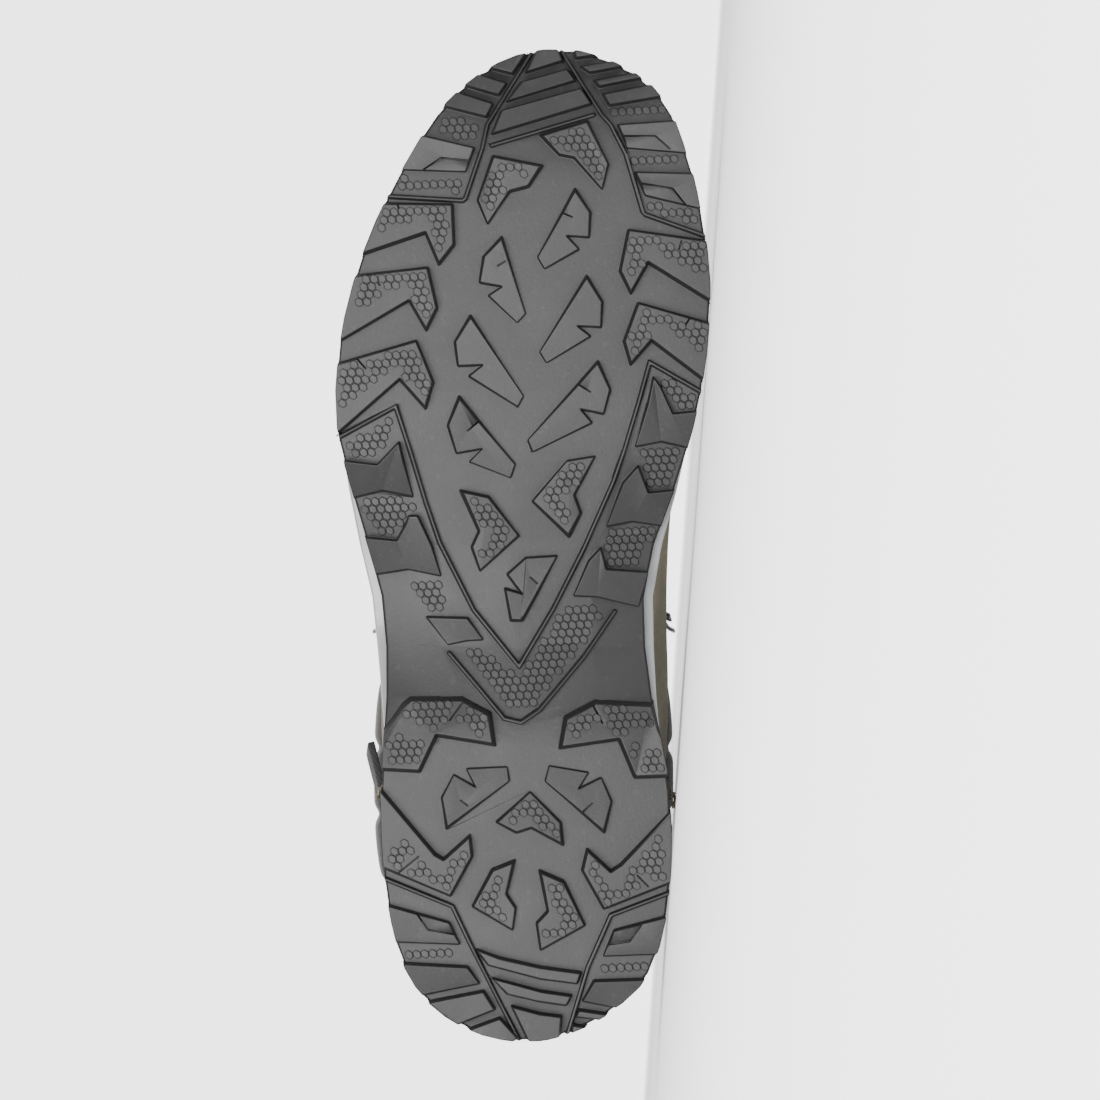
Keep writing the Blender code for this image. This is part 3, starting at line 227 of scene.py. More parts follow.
def rubber(name, dark=0.017, gloss=0.44, bloom=0.04, painted_wall_shade=True):
    finish, place = new_finish(name, IOR=1.50)
    cloud = noise(place, 38, 4)
    grain = noise(place, 1500, 2)
    speck = ramp(noise(place, 420, 2), 0.62, 0.70)
    colour = mix(grey(dark), grey(dark + bloom), ramp(cloud, 0.45, 0.95) * 0.5 + speck * 0.16)
    rough = gloss + cloud * 0.10 + grain * 0.05
    # Painted shade: where the surface stops facing the ground, as on the lug walls, the colour turns near
    # black.
    if painted_wall_shade:
        facing = place.node(
            "VectorMath", {0: place.node("NewGeometry", output="Normal"), 1: GROUNDWARD},
            output="Value", operation="DOT_PRODUCT",
        )
        face = ramp(facing, 0.60, 0.97)
        colour = mix(grey(0.0015), colour, face)
        rough = rough + 0.45 * (1 - face)
    return dress(
        finish, Base_Color=colour, Roughness=rough, Normal=relief(grain + cells(place, 900) * 0.4, 0.00004)
    )


tread_rubber = rubber("tread_rubber")
# Painted light: the cells' rubber is lighter than the tread's, for the light that their raised tops catch.
cell_rubber_painted_light = rubber("cell_rubber_painted_light", dark=0.024, gloss=0.46, bloom=0.06)
rand_rubber = rubber("rand_rubber", dark=0.010, gloss=0.36, painted_wall_shade=False)
print("rubbers ready")

# %% [markdown]
# ## Working on copies
# A CAD node's mesh is loose triangles and is never changed. What needs more form is copied, its
# doubles are merged, and its flat triangles are dissolved into whole faces, so that a bevel or a
# subdivision follows the real edges. The copy then stands for the node.

# %% Helpers for copies
def activate(thing):
    bpy.ops.object.select_all(action="DESELECT")
    bpy.context.view_layer.objects.active = thing
    thing.select_set(True)


def merged_copy(node, name, flat=None, quads=False):
    source = frame["nodes"][node]
    made = source.copy()
    made.data = source.data.copy()
    made.name = name
    bpy.context.scene.collection.objects.link(made)
    made.parent = None
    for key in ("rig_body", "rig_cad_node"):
        if key in made:
            del made[key]
    activate(made)
    bpy.ops.object.mode_set(mode="EDIT")
    bpy.ops.mesh.select_all(action="SELECT")
    bpy.ops.mesh.remove_doubles(threshold=0.00002)
    if flat:
        bpy.ops.mesh.dissolve_limited(angle_limit=math.radians(flat))
    if quads:
        bpy.ops.mesh.tris_convert_to_quads(face_threshold=math.radians(40), shape_threshold=math.radians(60))
    bpy.ops.object.mode_set(mode="OBJECT")
    made.data.materials.clear()
    return made


def use_modifier(thing, kind, **settings):
    """Adds a modifier, sets it and applies it."""
    activate(thing)
    modifier = thing.modifiers.new(kind.lower(), kind)
    for name, value in settings.items():
        setattr(modifier, name, value)
    bpy.ops.object.modifier_apply(modifier=modifier.name)
    return thing


def wear(thing, finish, slot, *nodes, smooth=35):
    """Gives a finished piece its material and its body, and hides the nodes that it stands for."""
    thing.data.materials.clear()
    thing.data.materials.append(finish)
    activate(thing)
    if smooth:
        bpy.ops.object.shade_smooth_by_angle(angle=math.radians(smooth))
    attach(thing, "root")
    if nodes:
        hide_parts(*nodes)
    print(thing.name, "has", sum(len(face.vertices) - 2 for face in thing.data.polygons), "triangles")
    return thing


def joined_copies(template, places, name):
    """One mesh from many copies of a small one. A place is a 4x4 matrix."""
    points = np.array([(*v.co, 1.0) for v in template.data.vertices])
    faces = [list(face.vertices) for face in template.data.polygons]
    all_points = []
    all_faces = []
    for matrix in places:
        first = len(all_points)
        all_points.extend((points @ np.array(matrix).T)[:, :3].tolist())
        all_faces.extend([[first + v for v in face] for face in faces])
    mesh = bpy.data.meshes.new(name)
    mesh.from_pydata(all_points, [], all_faces)
    made = bpy.data.objects.new(name, mesh)
    bpy.context.scene.collection.objects.link(made)
    return made


# %% [markdown]
# ## The outsole
# The CAD outsole has every lug in place with sharp edges. Moulded rubber has none: each edge is a
# small round that catches the light. A bevel by angle rounds them all at once. Short edges from the
# CAD's cuts are merged first, because a bevel runs out of room on them.

# %% Round the edges of the lugs
outsole = merged_copy("outsole", "tread", flat=1.5)
activate(outsole)
bpy.ops.object.mode_set(mode="EDIT")
bpy.ops.mesh.select_all(action="SELECT")
bpy.ops.mesh.dissolve_degenerate(threshold=0.00012)
bpy.ops.object.mode_set(mode="OBJECT")
use_modifier(
    outsole, "BEVEL", width=0.00035, segments=2, limit_method="ANGLE", angle_limit=math.radians(38),
    use_clamp_overlap=False, miter_outer="MITER_ARC",
)
print("rounded tread:", len(outsole.data.polygons), "faces")

# %% [markdown]
# ## Slits in the lugs
# Small slits and engraved lines help a lug bend and are cut by fins in the mould. Each fin is a thin
# box, put where the photograph shows its slit, and one Boolean cuts them all.

# %% Cut the slits
SLITS = (
    ((423, 169), (441, 157)), ((441, 157), (469, 160)), ((621, 135), (656, 135)), ((656, 135), (671, 148)),
    ((641, 183), (673, 188)), ((673, 188), (686, 204)), ((416, 913), (428, 930)), ((428, 930), (455, 935)),
    ((609, 945), (630, 942)), ((630, 942), (642, 925)), ((449, 721), (463, 702)), ((603, 724), (593, 705)),
    ((561, 212), (573, 217)), ((578, 384), (591, 392)), ((497, 266), (506, 261)), ((467, 431), (479, 421)),
    ((530, 577), (538, 584)), ((460, 800), (468, 806)), ((583, 812), (593, 803)), ((396, 201), (400, 212)),
    ((373, 275), (380, 286)), ((356, 358), (366, 369)), ((682, 240), (679, 250)), ((692, 315), (685, 326)),
    ((398, 873), (419, 856)), ((637, 875), (649, 887)),
)
SLIT_WIDTH = 0.0006
SLIT_DEPTH = 0.0009

tread_tree = BVHTree.FromObject(outsole, bpy.context.evaluated_depsgraph_get())
upward = (turn @ Vector((0, 0, 1))).normalized()


def on_tread(x, y):
    """(place, normal) of the tread at a place of the drawing, seen from below."""
    place, normal, _, _ = tread_tree.ray_cast(at(*along_across(x, y), -0.01), upward)
    return place, normal


fins = []
for start, end in SLITS:
    middle = ((start[0] + end[0]) / 2, (start[1] + end[1]) / 2)
    place, normal = on_tread(*middle)
    if place is None:
        continue
    line = at(*along_across(*end), 0) - at(*along_across(*start), 0)
    side = upward.cross(line).normalized()
    bpy.ops.object.select_all(action="DESELECT")
    bpy.ops.mesh.primitive_cube_add(size=1.0)
    fin = bpy.context.active_object
    axes = Matrix((line, side * SLIT_WIDTH, upward * 2 * SLIT_DEPTH)).transposed()
    fin.matrix_world = Matrix.Translation(place) @ axes.to_4x4()
    fins.append(fin)
bpy.ops.object.select_all(action="DESELECT")
for fin in fins:
    fin.select_set(True)
bpy.context.view_layer.objects.active = fins[0]
bpy.ops.object.join()
use_modifier(outsole, "BOOLEAN", operation="DIFFERENCE", solver="EXACT", use_self=True, object=fins[0])
bpy.data.objects.remove(fins[0])
bpy.ops.object.shade_smooth()
use_modifier(outsole, "WEIGHTED_NORMAL", mode="FACE_AREA", weight=80, thresh=0.01, keep_sharp=False)
wear(outsole, tread_rubber, "black_rubber", "outsole", smooth=None)

# %% [markdown]
# ## Textured faces
# Half of the lugs and the strips between them carry a pattern of small raised cells, slightly longer
# than wide and all leaning one way. Each zone is an outline in the sole's drawing, with the part that
# stays smooth. One cell is modelled by hand and set on the surface wherever its middle is in a zone.

# %% Zones of the tread that carry cells
ZONES = (
    (((491, 152), (547, 163), (530, 188), (511, 193), (487, 227), (475, 200)),
     ((506, 169), (527, 182), (509, 189))),
    (((536, 133), (589, 116), (611, 163), (603, 192), (573, 159), (558, 156)), ()),
    (((456, 487), (490, 494), (522, 536), (479, 574), (469, 547), (476, 531)),
     ((476, 531), (492, 533), (487, 544), (471, 550))),
    (((598, 454), (566, 459), (529, 501), (570, 541), (584, 513), (577, 495)),
     ((562, 498), (577, 495), (583, 514), (567, 509))),
    (((530, 790), (563, 822), (566, 850), (531, 831), (516, 836), (492, 823)),
     ((517, 833), (525, 817), (532, 831))),
    (((518, 857), (490, 868), (469, 908), (514, 934), (518, 908), (509, 894)),
     ((495, 906), (509, 896), (516, 910))),
    (((536, 867), (566, 880), (588, 927), (539, 954), (534, 923), (545, 911)),
     ((536, 925), (546, 911), (558, 914), (560, 925))),
    (((368, 201), (454, 202), (456, 245), (438, 268), (424, 235), (350, 260)),
     ((340, 250), (371, 237), (427, 215), (431, 224), (424, 235), (350, 262))),
    (((340, 275), (429, 265), (439, 308), (426, 334), (408, 303), (322, 353)),
     ((322, 340), (346, 319), (406, 285), (411, 292), (408, 303), (322, 353))),
    (((318, 367), (417, 338), (435, 382), (426, 412), (399, 382), (320, 450)),
     ((318, 430), (337, 414), (398, 364), (404, 372), (399, 382), (320, 450))),
    (((627, 227), (725, 241), (725, 312), (649, 265), (631, 297), (618, 271)),
     ((640, 252), (647, 247), (711, 281), (725, 290), (725, 312), (649, 265))),
    (((637, 300), (728, 326), (725, 398), (652, 343), (630, 368), (622, 341)),
     ((650, 328), (657, 321), (709, 361), (725, 375), (725, 398), (652, 343))),
    (((385, 869), (398, 830), (417, 854), (437, 875), (443, 868), (471, 832), (474, 857), (451, 899)), ()),
    (((586, 846), (580, 871), (603, 912), (670, 882), (661, 830), (616, 887), (609, 879)), ()),
    (((401, 703), (409, 696), (462, 696), (492, 712), (498, 749), (438, 739), (421, 775),
      (380, 772), (385, 735)),
     ((390, 720), (427, 726), (424, 737), (390, 733))),
    (((563, 716), (595, 699), (655, 702), (662, 728), (672, 779), (633, 781), (617, 743), (556, 752)),
     ((628, 742), (631, 731), (660, 726), (665, 739))),
    (((443, 111), (486, 121), (477, 143), (431, 133)), ()),
    (((385, 174), (466, 176), (463, 194), (388, 191)), ()),
    (((606, 108), (662, 98), (672, 114), (614, 119)), ()),
    (((626, 149), (689, 153), (692, 168), (631, 166)), ()),
    (((643, 197), (702, 211), (703, 227), (649, 217)), ()),
    (((341, 443), (390, 415), (394, 425), (387, 443), (373, 459), (342, 457)), ()),
    (((354, 499), (382, 492), (413, 499), (417, 513), (406, 513), (404, 523), (396, 539), (375, 536)), ()),
    (((392, 574), (444, 581), (447, 599), (444, 613), (423, 612)), ()),
    (((657, 369), (701, 396), (701, 409), (674, 411), (662, 386)), ()),
    (((640, 463), (636, 447), (662, 442), (692, 449), (675, 488), (650, 491)), ()),
    (((604, 544), (605, 526), (633, 522), (661, 527), (638, 571), (608, 567)), ()),
    (((455, 650), (480, 646), (519, 674), (560, 612), (574, 600), (598, 602), (608, 612),
      (580, 655), (537, 705),
      (521, 716), (507, 712), (481, 682)), ()),
    (((384, 948), (460, 951), (465, 962), (388, 960)), ()),
    (((602, 962), (676, 959), (662, 975), (598, 977)), ()),
)
SMOOTH_PATCHES = (
    ((449, 721), (469, 730), (477, 742), (437, 737)), ((583, 733), (605, 724), (617, 742), (578, 746)),
)
CELL_PITCH = 8.2
CELL_LEAN = math.radians(52)
CELL_MARGIN = 3.0


def inside(point, outline):
    """True if the point is in the outline: a line from it crosses the outline an odd number of times."""
    crossings = 0
    for a, b in zip(outline, outline[1:] + outline[:1]):
        if (a[1] > point[1]) != (b[1] > point[1]):
            crossings += point[0] < (b[0] - a[0]) * (point[1] - a[1]) / (b[1] - a[1]) + a[0]
    return crossings % 2 == 1


def edge_distance(point, outline):
    spot = Vector(point)
    best = 1e9
    for a, b in zip(outline, outline[1:] + outline[:1]):
        nearest, share = geometry.intersect_point_line(spot, Vector(a), Vector(b))
        share = min(max(share, 0.0), 1.0)
        best = min(best, (Vector(a).lerp(Vector(b), share) - spot).length)
    return best


# %% Set the cells
bpy.ops.object.select_all(action="DESELECT")
bpy.ops.mesh.primitive_cylinder_add(vertices=6, radius=0.00128, depth=0.0008)
cell = bpy.context.active_object
bpy.ops.object.mode_set(mode="EDIT")
edit = bmesh.from_edit_mesh(cell.data)
for face in edit.faces:
    face.select_set(face.normal.z > 0.9)
bpy.ops.mesh.inset(thickness=0.00022)
bpy.ops.transform.translate(value=(0, 0, 0.00018))
edit = bmesh.from_edit_mesh(cell.data)
bmesh.ops.delete(edit, geom=[face for face in edit.faces if face.normal.z < -0.9], context="FACES_ONLY")
bmesh.update_edit_mesh(cell.data)
bpy.ops.object.mode_set(mode="OBJECT")
tread_tree = BVHTree.FromObject(outsole, bpy.context.evaluated_depsgraph_get())
places = []
ROOM = 4.6
LEVEL = 0.0005


def has_room(spot, place, normal):
    """True if the tread goes on at this level all round the cell, so that none hangs over an edge."""
    for step in range(6):
        around = math.tau * step / 6
        near, _ = on_tread(spot[0] + ROOM * math.cos(around), spot[1] + ROOM * math.sin(around))
        if near is None or abs((near - place).dot(normal)) > LEVEL:
            return False
    return True


lean = Vector((math.cos(CELL_LEAN), math.sin(CELL_LEAN)))
for outline, smooth in ZONES:
    low_x, high_x = min(p[0] for p in outline), max(p[0] for p in outline)
    low_y, high_y = min(p[1] for p in outline), max(p[1] for p in outline)
    reach = int(max(high_x - low_x, high_y - low_y) / CELL_PITCH) + 3
    start = Vector(((low_x + high_x) / 2, (low_y + high_y) / 2))
    for row in range(-reach, reach + 1):
        for step in range(-reach, reach + 1):
            spot = start + lean * CELL_PITCH * 1.12 * (step + 0.5 * (row % 2))
            spot += Vector((-lean.y, lean.x)) * CELL_PITCH * 0.80 * row
            if not inside(spot, outline) or edge_distance(spot, outline) < CELL_MARGIN:
                continue
            if smooth and (inside(spot, smooth) or edge_distance(spot, smooth) < CELL_MARGIN):
                continue
            if any(
                inside(spot, patch) or edge_distance(spot, patch) < CELL_MARGIN for patch in SMOOTH_PATCHES
            ):
                continue
            place, normal = on_tread(*spot)
            if place is None or normal.dot(upward) > -0.75 or not has_room(spot, place, normal):
                continue
            along = at(*along_across(*(spot + lean)), 0) - at(*along_across(*spot), 0)
            along = (along - normal * along.dot(normal)).normalized()
            axes = Matrix((along * 1.22, normal.cross(along), normal)).transposed()
            places.append(Matrix.Translation(place) @ axes.to_4x4())
tread_cells = joined_copies(cell, places, "tread_cells")
bpy.data.objects.remove(cell)
wear(tread_cells, cell_rubber_painted_light, "black_rubber", smooth=25)
print("cells on the tread:", len(places))


# %% [markdown]
# ## Midsole
# The midsole is a moulded foam with a glossy skin. Only a thin line of it shows round the tread, and
# its light grey is painted reflection: it stands for the pale surroundings mirrored in that glossy edge.
# Its edges are rounded a little, and the skin has a coat over a barely pitted ground.

# %% Midsole
foam, place = new_finish("midsole_foam_painted_reflection", Roughness=0.30, Coat_Weight=0.35, Coat_Roughness=0.12)
# Painted reflection: this light grey stands for the pale surroundings mirrored in the glossy midsole edge.
tone = mix((0.24, 0.245, 0.26, 1), (0.34, 0.345, 0.35, 1), noise(place, 60, 3))
dress(foam, Base_Color=tone, Normal=relief(noise(place, 900, 3), 0.00005))
midsole = merged_copy("midsole", "midsole_skin", flat=1)
use_modifier(
    midsole, "BEVEL", width=0.0005, segments=2, limit_method="ANGLE", angle_limit=math.radians(30),
    use_clamp_overlap=False,
)
wear(midsole, foam, "grey_foam", "midsole", smooth=40)

# %% [markdown]
# ## Nubuck and leather
# Nubuck is leather sanded on the grain side: matt, with a very short nap that shows lighter and darker
# where it is brushed either way, and rubbed paler along edges. The smooth leather of the counter and
# eyestays has a pebble grain and a low sheen.

# %% Finishes of the upper
def nubuck(name, dark, light):
    finish, place = new_finish(name, Roughness=0.86, Sheen_Weight=0.08, Sheen_Roughness=0.5)
    brushed = noise(place, 26, 5, 0.62)
    nap = noise(place, 1700, 3, 0.7)
    pores = ramp(cells(place, 1100), 0.05, 0.32)
    tone = mix(dark, light, ramp(brushed + nap * 0.35, 0.42, 0.95))
    tone = mix((dark[0] * 0.5, dark[1] * 0.5, dark[2] * 0.5, 1), tone, 0.65 + 0.35 * pores)
    rub = ramp(place.node("NewGeometry", output="Pointiness"), 0.52, 0.60)
    tone = mix(tone, (light[0] * 1.5, light[1] * 1.5, light[2] * 1.5, 1), rub * 0.5)
    return dress(finish, Base_Color=tone, Normal=relief(nap + pores * 0.5 + brushed, 0.00016))


def grained_leather(name, dark, light, gloss=0.46):
    finish, place = new_finish(name, Coat_Weight=0.08, Coat_Roughness=0.3)
    pebble = cells(place, 620, "SMOOTH_F1")
    fine = noise(place, 1500, 3)
    tone = mix(dark, light, ramp(noise(place, 45, 4), 0.3, 0.8))
    tone = mix(tone, (dark[0] * 0.45, dark[1] * 0.45, dark[2] * 0.45, 1), ramp(pebble, 0.4, 0.8) * 0.6)
    return dress(
        finish, Base_Color=tone, Roughness=gloss + 0.2 * fine, Normal=relief(1 - pebble + fine * 0.3, 0.00022)
    )


def woven(name, dark, light, thread, gloss=0.8):
    """Cloth of crossing threads. Thread is the size of one, in metres."""
    finish, place = new_finish(name, Roughness=gloss, Sheen_Weight=0.04)
    along, across, rise = (place.node("SeparateXYZ", {"Vector": place}, output=axis) for axis in range(3))
    per_thread = math.pi / thread
    warp = place.maths("SINE", (along + across) * per_thread)
    weft = place.maths("SINE", rise * per_thread)
    weave = (warp * weft) * 0.5 + 0.5
    fuzz = noise(place, 2200, 2)
    tone = mix(dark, light, weave * 0.6 + fuzz * 0.4)
    return dress(finish, Base_Color=tone, Normal=relief(weave + fuzz * 0.4, thread * 0.35))


olive_nubuck = nubuck("olive_nubuck", (0.085, 0.078, 0.048, 1), (0.175, 0.158, 0.10, 1))
counter_leather = grained_leather("counter_leather", (0.030, 0.024, 0.017, 1), (0.060, 0.048, 0.034, 1))
cuff_leather = grained_leather("cuff_leather", (0.022, 0.020, 0.018, 1), (0.045, 0.040, 0.034, 1), gloss=0.5)
tongue_cloth = woven("tongue_cloth", (0.035, 0.032, 0.022, 1), (0.11, 0.10, 0.07, 1), 0.0011)
lining_cloth = woven("lining_cloth", (0.03, 0.029, 0.025, 1), (0.12, 0.115, 0.10, 1), 0.0009)
black_webbing = woven("black_webbing", (0.008, 0.008, 0.009, 1), (0.035, 0.035, 0.036, 1), 0.0008, gloss=0.85)
lace_braid = woven("lace_braid", (0.075, 0.055, 0.03, 1), (0.26, 0.205, 0.13, 1), 0.0010)
thread_finish = woven("waxed_thread", (0.10, 0.088, 0.055, 1), (0.24, 0.21, 0.14, 1), 0.0004, gloss=0.55)
print("finishes of the upper ready")

# %% [markdown]
# ## Creases of the upper
# Leather folds where the foot bends: across the vamp behind the toes, in front of the ankle and above
# the heel. Each crease is a line in the standing boot's sizes, pulled onto the upper. Points near it
# move in, and those a little further off move out, so that it is a soft trough between two ridges.

# %% Creases
CREASES = (
    (((0.204, -0.047, 0.045), (0.197, -0.025, 0.068), (0.195, 0.0, 0.074), (0.198, 0.025, 0.068),
      (0.206, 0.046, 0.045)), 0.0011, 0.0040),
    (((0.221, -0.050, 0.042), (0.214, -0.030, 0.060), (0.229, -0.012, 0.067)), 0.0009, 0.0036),
    (((0.190, -0.050, 0.040), (0.182, -0.042, 0.060), (0.180, -0.032, 0.074)), 0.0010, 0.0040),
    (((0.222, 0.050, 0.042), (0.215, 0.030, 0.060), (0.230, 0.012, 0.067)), 0.0008, 0.0036),
    (((0.070, -0.045, 0.098), (0.100, -0.045, 0.090), (0.128, -0.036, 0.094)), 0.0013, 0.0055),
    (((0.075, -0.045, 0.118), (0.100, -0.045, 0.110), (0.122, -0.036, 0.114)), 0.0011, 0.0050),
    (((0.070, 0.045, 0.098), (0.100, 0.045, 0.091), (0.126, 0.036, 0.094)), 0.0012, 0.0055),
    (((0.075, 0.045, 0.117), (0.100, 0.045, 0.110), (0.120, 0.036, 0.113)), 0.0010, 0.0050),
    (((0.030, -0.040, 0.093), (0.010, -0.015, 0.097), (0.010, 0.015, 0.097),
      (0.030, 0.040, 0.093)), 0.0009, 0.0050),
)
CREASE_STEP = 0.002
RIDGE_HEIGHT = 0.45
RIDGE_PLACE = 2.1
FADE_POINTS = 4
LEAST_AT_ENDS = 0.25


def crease_lines(tree):
    """Each crease as close points on the surface, with its depth and width."""
    lines = []
    for points, depth, width in CREASES:
        line = []
        for start, end in zip(points, points[1:]):
            steps = max(2, int((Vector(end) - Vector(start)).length / CREASE_STEP))
            for step in range(steps):
                line.append(tree.find_nearest(at(*Vector(start).lerp(Vector(end), step / steps)))[0])
        lines.append((np.array(line), depth, width))
    return lines


def crease(thing, lines):
    """Moves the points near each line in, and those beside it out."""
    mesh = thing.data
    count = len(mesh.vertices)
    places = np.zeros(count * 3)
    mesh.vertices.foreach_get("co", places)
    places = places.reshape(-1, 3)
    normals = np.array([vertex.normal for vertex in mesh.vertices])
    moved = np.zeros(count)
    for line, depth, width in lines:
        distance = np.linalg.norm(places[:, None, :] - line[None, :, :], axis=2)
        nearest = distance.min(axis=1)
        number = distance.argmin(axis=1)
        ends = np.minimum(1.0, np.minimum(number, len(line) - 1 - number) / FADE_POINTS)
        trough = -depth * np.exp(-((nearest / width) ** 2))
        ridge = RIDGE_HEIGHT * depth * np.exp(-(((nearest - RIDGE_PLACE * width) / width) ** 2))
        moved += (trough + ridge) * (LEAST_AT_ENDS + (1 - LEAST_AT_ENDS) * ends)
    mesh.vertices.foreach_set("co", (places + normals * moved[:, None]).ravel())
    mesh.update()


def softened(node, name, levels=2, sharp=70):
    """A copy with real edges kept and the rest rounded."""
    made = merged_copy(node, name, quads=True)
    activate(made)
    bpy.ops.object.mode_set(mode="EDIT")
    bpy.ops.mesh.select_mode(type="EDGE")
    bpy.ops.mesh.select_all(action="DESELECT")
    bpy.ops.mesh.edges_select_sharp(sharpness=math.radians(sharp))
    bpy.ops.transform.edge_crease(value=0.75)
    bpy.ops.mesh.select_mode(type="FACE")
    bpy.ops.object.mode_set(mode="OBJECT")
    return use_modifier(made, "SUBSURF", levels=levels, render_levels=levels)


# %% Upper, counter and eyestays
upper = softened("upper", "nubuck_upper")
lines = crease_lines(BVHTree.FromObject(upper, bpy.context.evaluated_depsgraph_get()))
crease(upper, lines)
wear(upper, olive_nubuck, "olive_nubuck", "upper", smooth=60)
overlays = {}
for node, name, finish, slot in (
    ("heel_counter", "counter", counter_leather, "dark_leather"),
    ("eyestay_inner", "inner_eyestay", counter_leather, "dark_leather"),
    ("eyestay_outer", "outer_eyestay", counter_leather, "dark_leather"),
    ("toe_rand", "rand", rand_rubber, "black_rubber"),
):
    overlays[node] = softened(node, name)
    crease(overlays[node], lines)
    wear(overlays[node], finish, slot, node, smooth=60)

# %% [markdown]
# ## Stitching
# A maker sews an overlay a few millimetres in from its edge. The same happens here: on a copy of the
# overlay its outer faces are selected and inset by that margin, and the inset's border is the line of
# the seam. One stitch is modelled by hand and repeated along it.

# %% One stitch
bpy.ops.object.select_all(action="DESELECT")
bpy.ops.mesh.primitive_cylinder_add(vertices=6, radius=0.00032, depth=0.0022, rotation=(0, math.pi / 2, 0))
stitch = bpy.context.active_object
bpy.ops.object.transform_apply(location=True, rotation=True, scale=True)
bpy.ops.object.mode_set(mode="EDIT")
edit = bmesh.from_edit_mesh(stitch.data)
for face in edit.faces:
    face.select_set(abs(face.normal.x) > 0.9)
bpy.ops.mesh.extrude_region_shrink_fatten(TRANSFORM_OT_shrink_fatten={"value": 0.0003})
bpy.ops.transform.resize(value=(1, 0.45, 0.45))
bpy.ops.transform.translate(value=(0, 0, -0.00012))
bpy.ops.object.mode_set(mode="OBJECT")


def middle_of(edge):
    return tuple(edge.verts[0].co + edge.verts[1].co)


def seam_lines(thing, base, least, margin, keep):
    """The lines of a seam inside the edge of an overlay's outer faces, as (place, normal) lists."""
    activate(thing)
    bpy.ops.object.duplicate()
    work = bpy.context.active_object
    bpy.ops.object.mode_set(mode="EDIT")
    bpy.ops.mesh.select_mode(type="FACE")
    edit = bmesh.from_edit_mesh(work.data)
    for face in edit.faces:
        middle = face.calc_center_median()
        nearest, _, _, distance = base.find_nearest(middle)
        away = (middle - nearest).normalized()
        face.select_set(distance > least and face.normal.dot(away) > 0.75)
    bpy.ops.mesh.inset(thickness=margin, use_boundary=True)
    bpy.ops.mesh.region_to_loop()
    edit = bmesh.from_edit_mesh(work.data)
    # Edges are taken by their places, so that the seam starts at the same stitch on every run.
    left = sorted((edge for edge in edit.edges if edge.select), key=middle_of)
    lines = []
    while left:
        line = sorted(left.pop(0).verts, key=lambda vertex: tuple(vertex.co))
        while onward := [edge for edge in line[-1].link_edges if edge in left]:
            edge = min(onward, key=middle_of)
            left.remove(edge)
            line.append(edge.other_vert(line[-1]))
        kept = [vertex for vertex in line if keep(UNBOOT @ vertex.co)]
        lines.append([(vertex.co.copy(), vertex.normal.copy()) for vertex in kept])
    bpy.ops.object.mode_set(mode="OBJECT")
    bpy.data.objects.remove(work)
    return [line for line in lines if len(line) > 6]


STITCH_PITCH = 0.0034
LONGEST_GAP = 0.012


def stitches_along(line):
    """Places of stitches at even steps of a line of (place, normal)."""
    places = []
    gone = 0.0
    for (start, first), (end, second) in zip(line, line[1:]):
        length = (end - start).length
        if length > LONGEST_GAP or length < 1e-7:
            continue
        while gone < length:
            share = gone / length
            spot = start.lerp(end, share)
            normal = first.lerp(second, share).normalized()
            run = (end - start).normalized()
            run = (run - normal * run.dot(normal)).normalized()
            axes = Matrix((run, normal.cross(run), normal)).transposed()
            places.append(Matrix.Translation(spot) @ axes.to_4x4())
            gone += STITCH_PITCH
        gone -= length
    return places


# %% Sew the overlays
upper_tree = BVHTree.FromObject(upper, bpy.context.evaluated_depsgraph_get())
sewn = []
for node, margin, keep in (
    ("heel_counter", 0.0022, lambda p: p.z > 0.037),
    ("heel_counter", 0.0044, lambda p: p.z > 0.039),
    ("eyestay_inner", 0.0020, lambda p: True),
    ("eyestay_outer", 0.0020, lambda p: True),
):
    for line in seam_lines(overlays[node], upper_tree, 0.0012, margin, keep):
        sewn += stitches_along(line)
print("stitches so far:", len(sewn))

# %% [markdown]
# ## Seams of the quarters
# Vamp and quarters are separate hides sewn one over the other. The seam shows as a double row from the
# eyestay's foot down to the sole, and a back stay runs up the heel. These lines are drawn in the side
# view and thrown sideways onto the leather.

# %% Draw the seams in the side view
SIDE_SEAMS = (
    ((0.207, 0.074), (0.196, 0.064), (0.183, 0.050), (0.172, 0.032)),
    ((0.204, 0.0765), (0.193, 0.066), (0.180, 0.052), (0.169, 0.034)),
    ((0.060, 0.069), (0.062, 0.085), (0.064, 0.105), (0.060, 0.130), (0.054, 0.160)),
    ((0.0572, 0.069), (0.0592, 0.085), (0.0612, 0.105), (0.0572, 0.130), (0.0512, 0.160)),
)
outer_surfaces = [upper_tree] + [
    BVHTree.FromObject(thing, bpy.context.evaluated_depsgraph_get()) for thing in overlays.values()
]


def from_the_side(along, height, side):
    """(place, normal) of the outermost surface there."""
    origin = at(along, side * 0.15, height)
    inward = (turn @ Vector((0, -side, 0))).normalized()
    hits = [tree.ray_cast(origin, inward) for tree in outer_surfaces]
    hits = [hit for hit in hits if hit[0] is not None]
    return min(hits, key=lambda hit: hit[3])[:2] if hits else (None, None)


for side in (-1, 1):
    for seam in SIDE_SEAMS:
        line = []
        for start, end in zip(seam, seam[1:]):
            for step in range(12):
                share = step / 12
                spot = (start[0] + (end[0] - start[0]) * share, start[1] + (end[1] - start[1]) * share)
                place, normal = from_the_side(*spot, side)
                if place is not None:
                    line.append((place, normal))
        sewn += stitches_along(line)
stitching = joined_copies(stitch, sewn, "stitching")
wear(stitching, thread_finish, "olive_nubuck", smooth=60)
print("stitches in all:", len(sewn))
bpy.data.objects.remove(stitch)

# %% [markdown]
# ## Cuff and tongue
# Both are padded: foam under a soft skin. The cuff is sewn in channels so that it can fold at the
# ankle, and its skin bulges between them. The channels are pressed in after the copy is rounded.

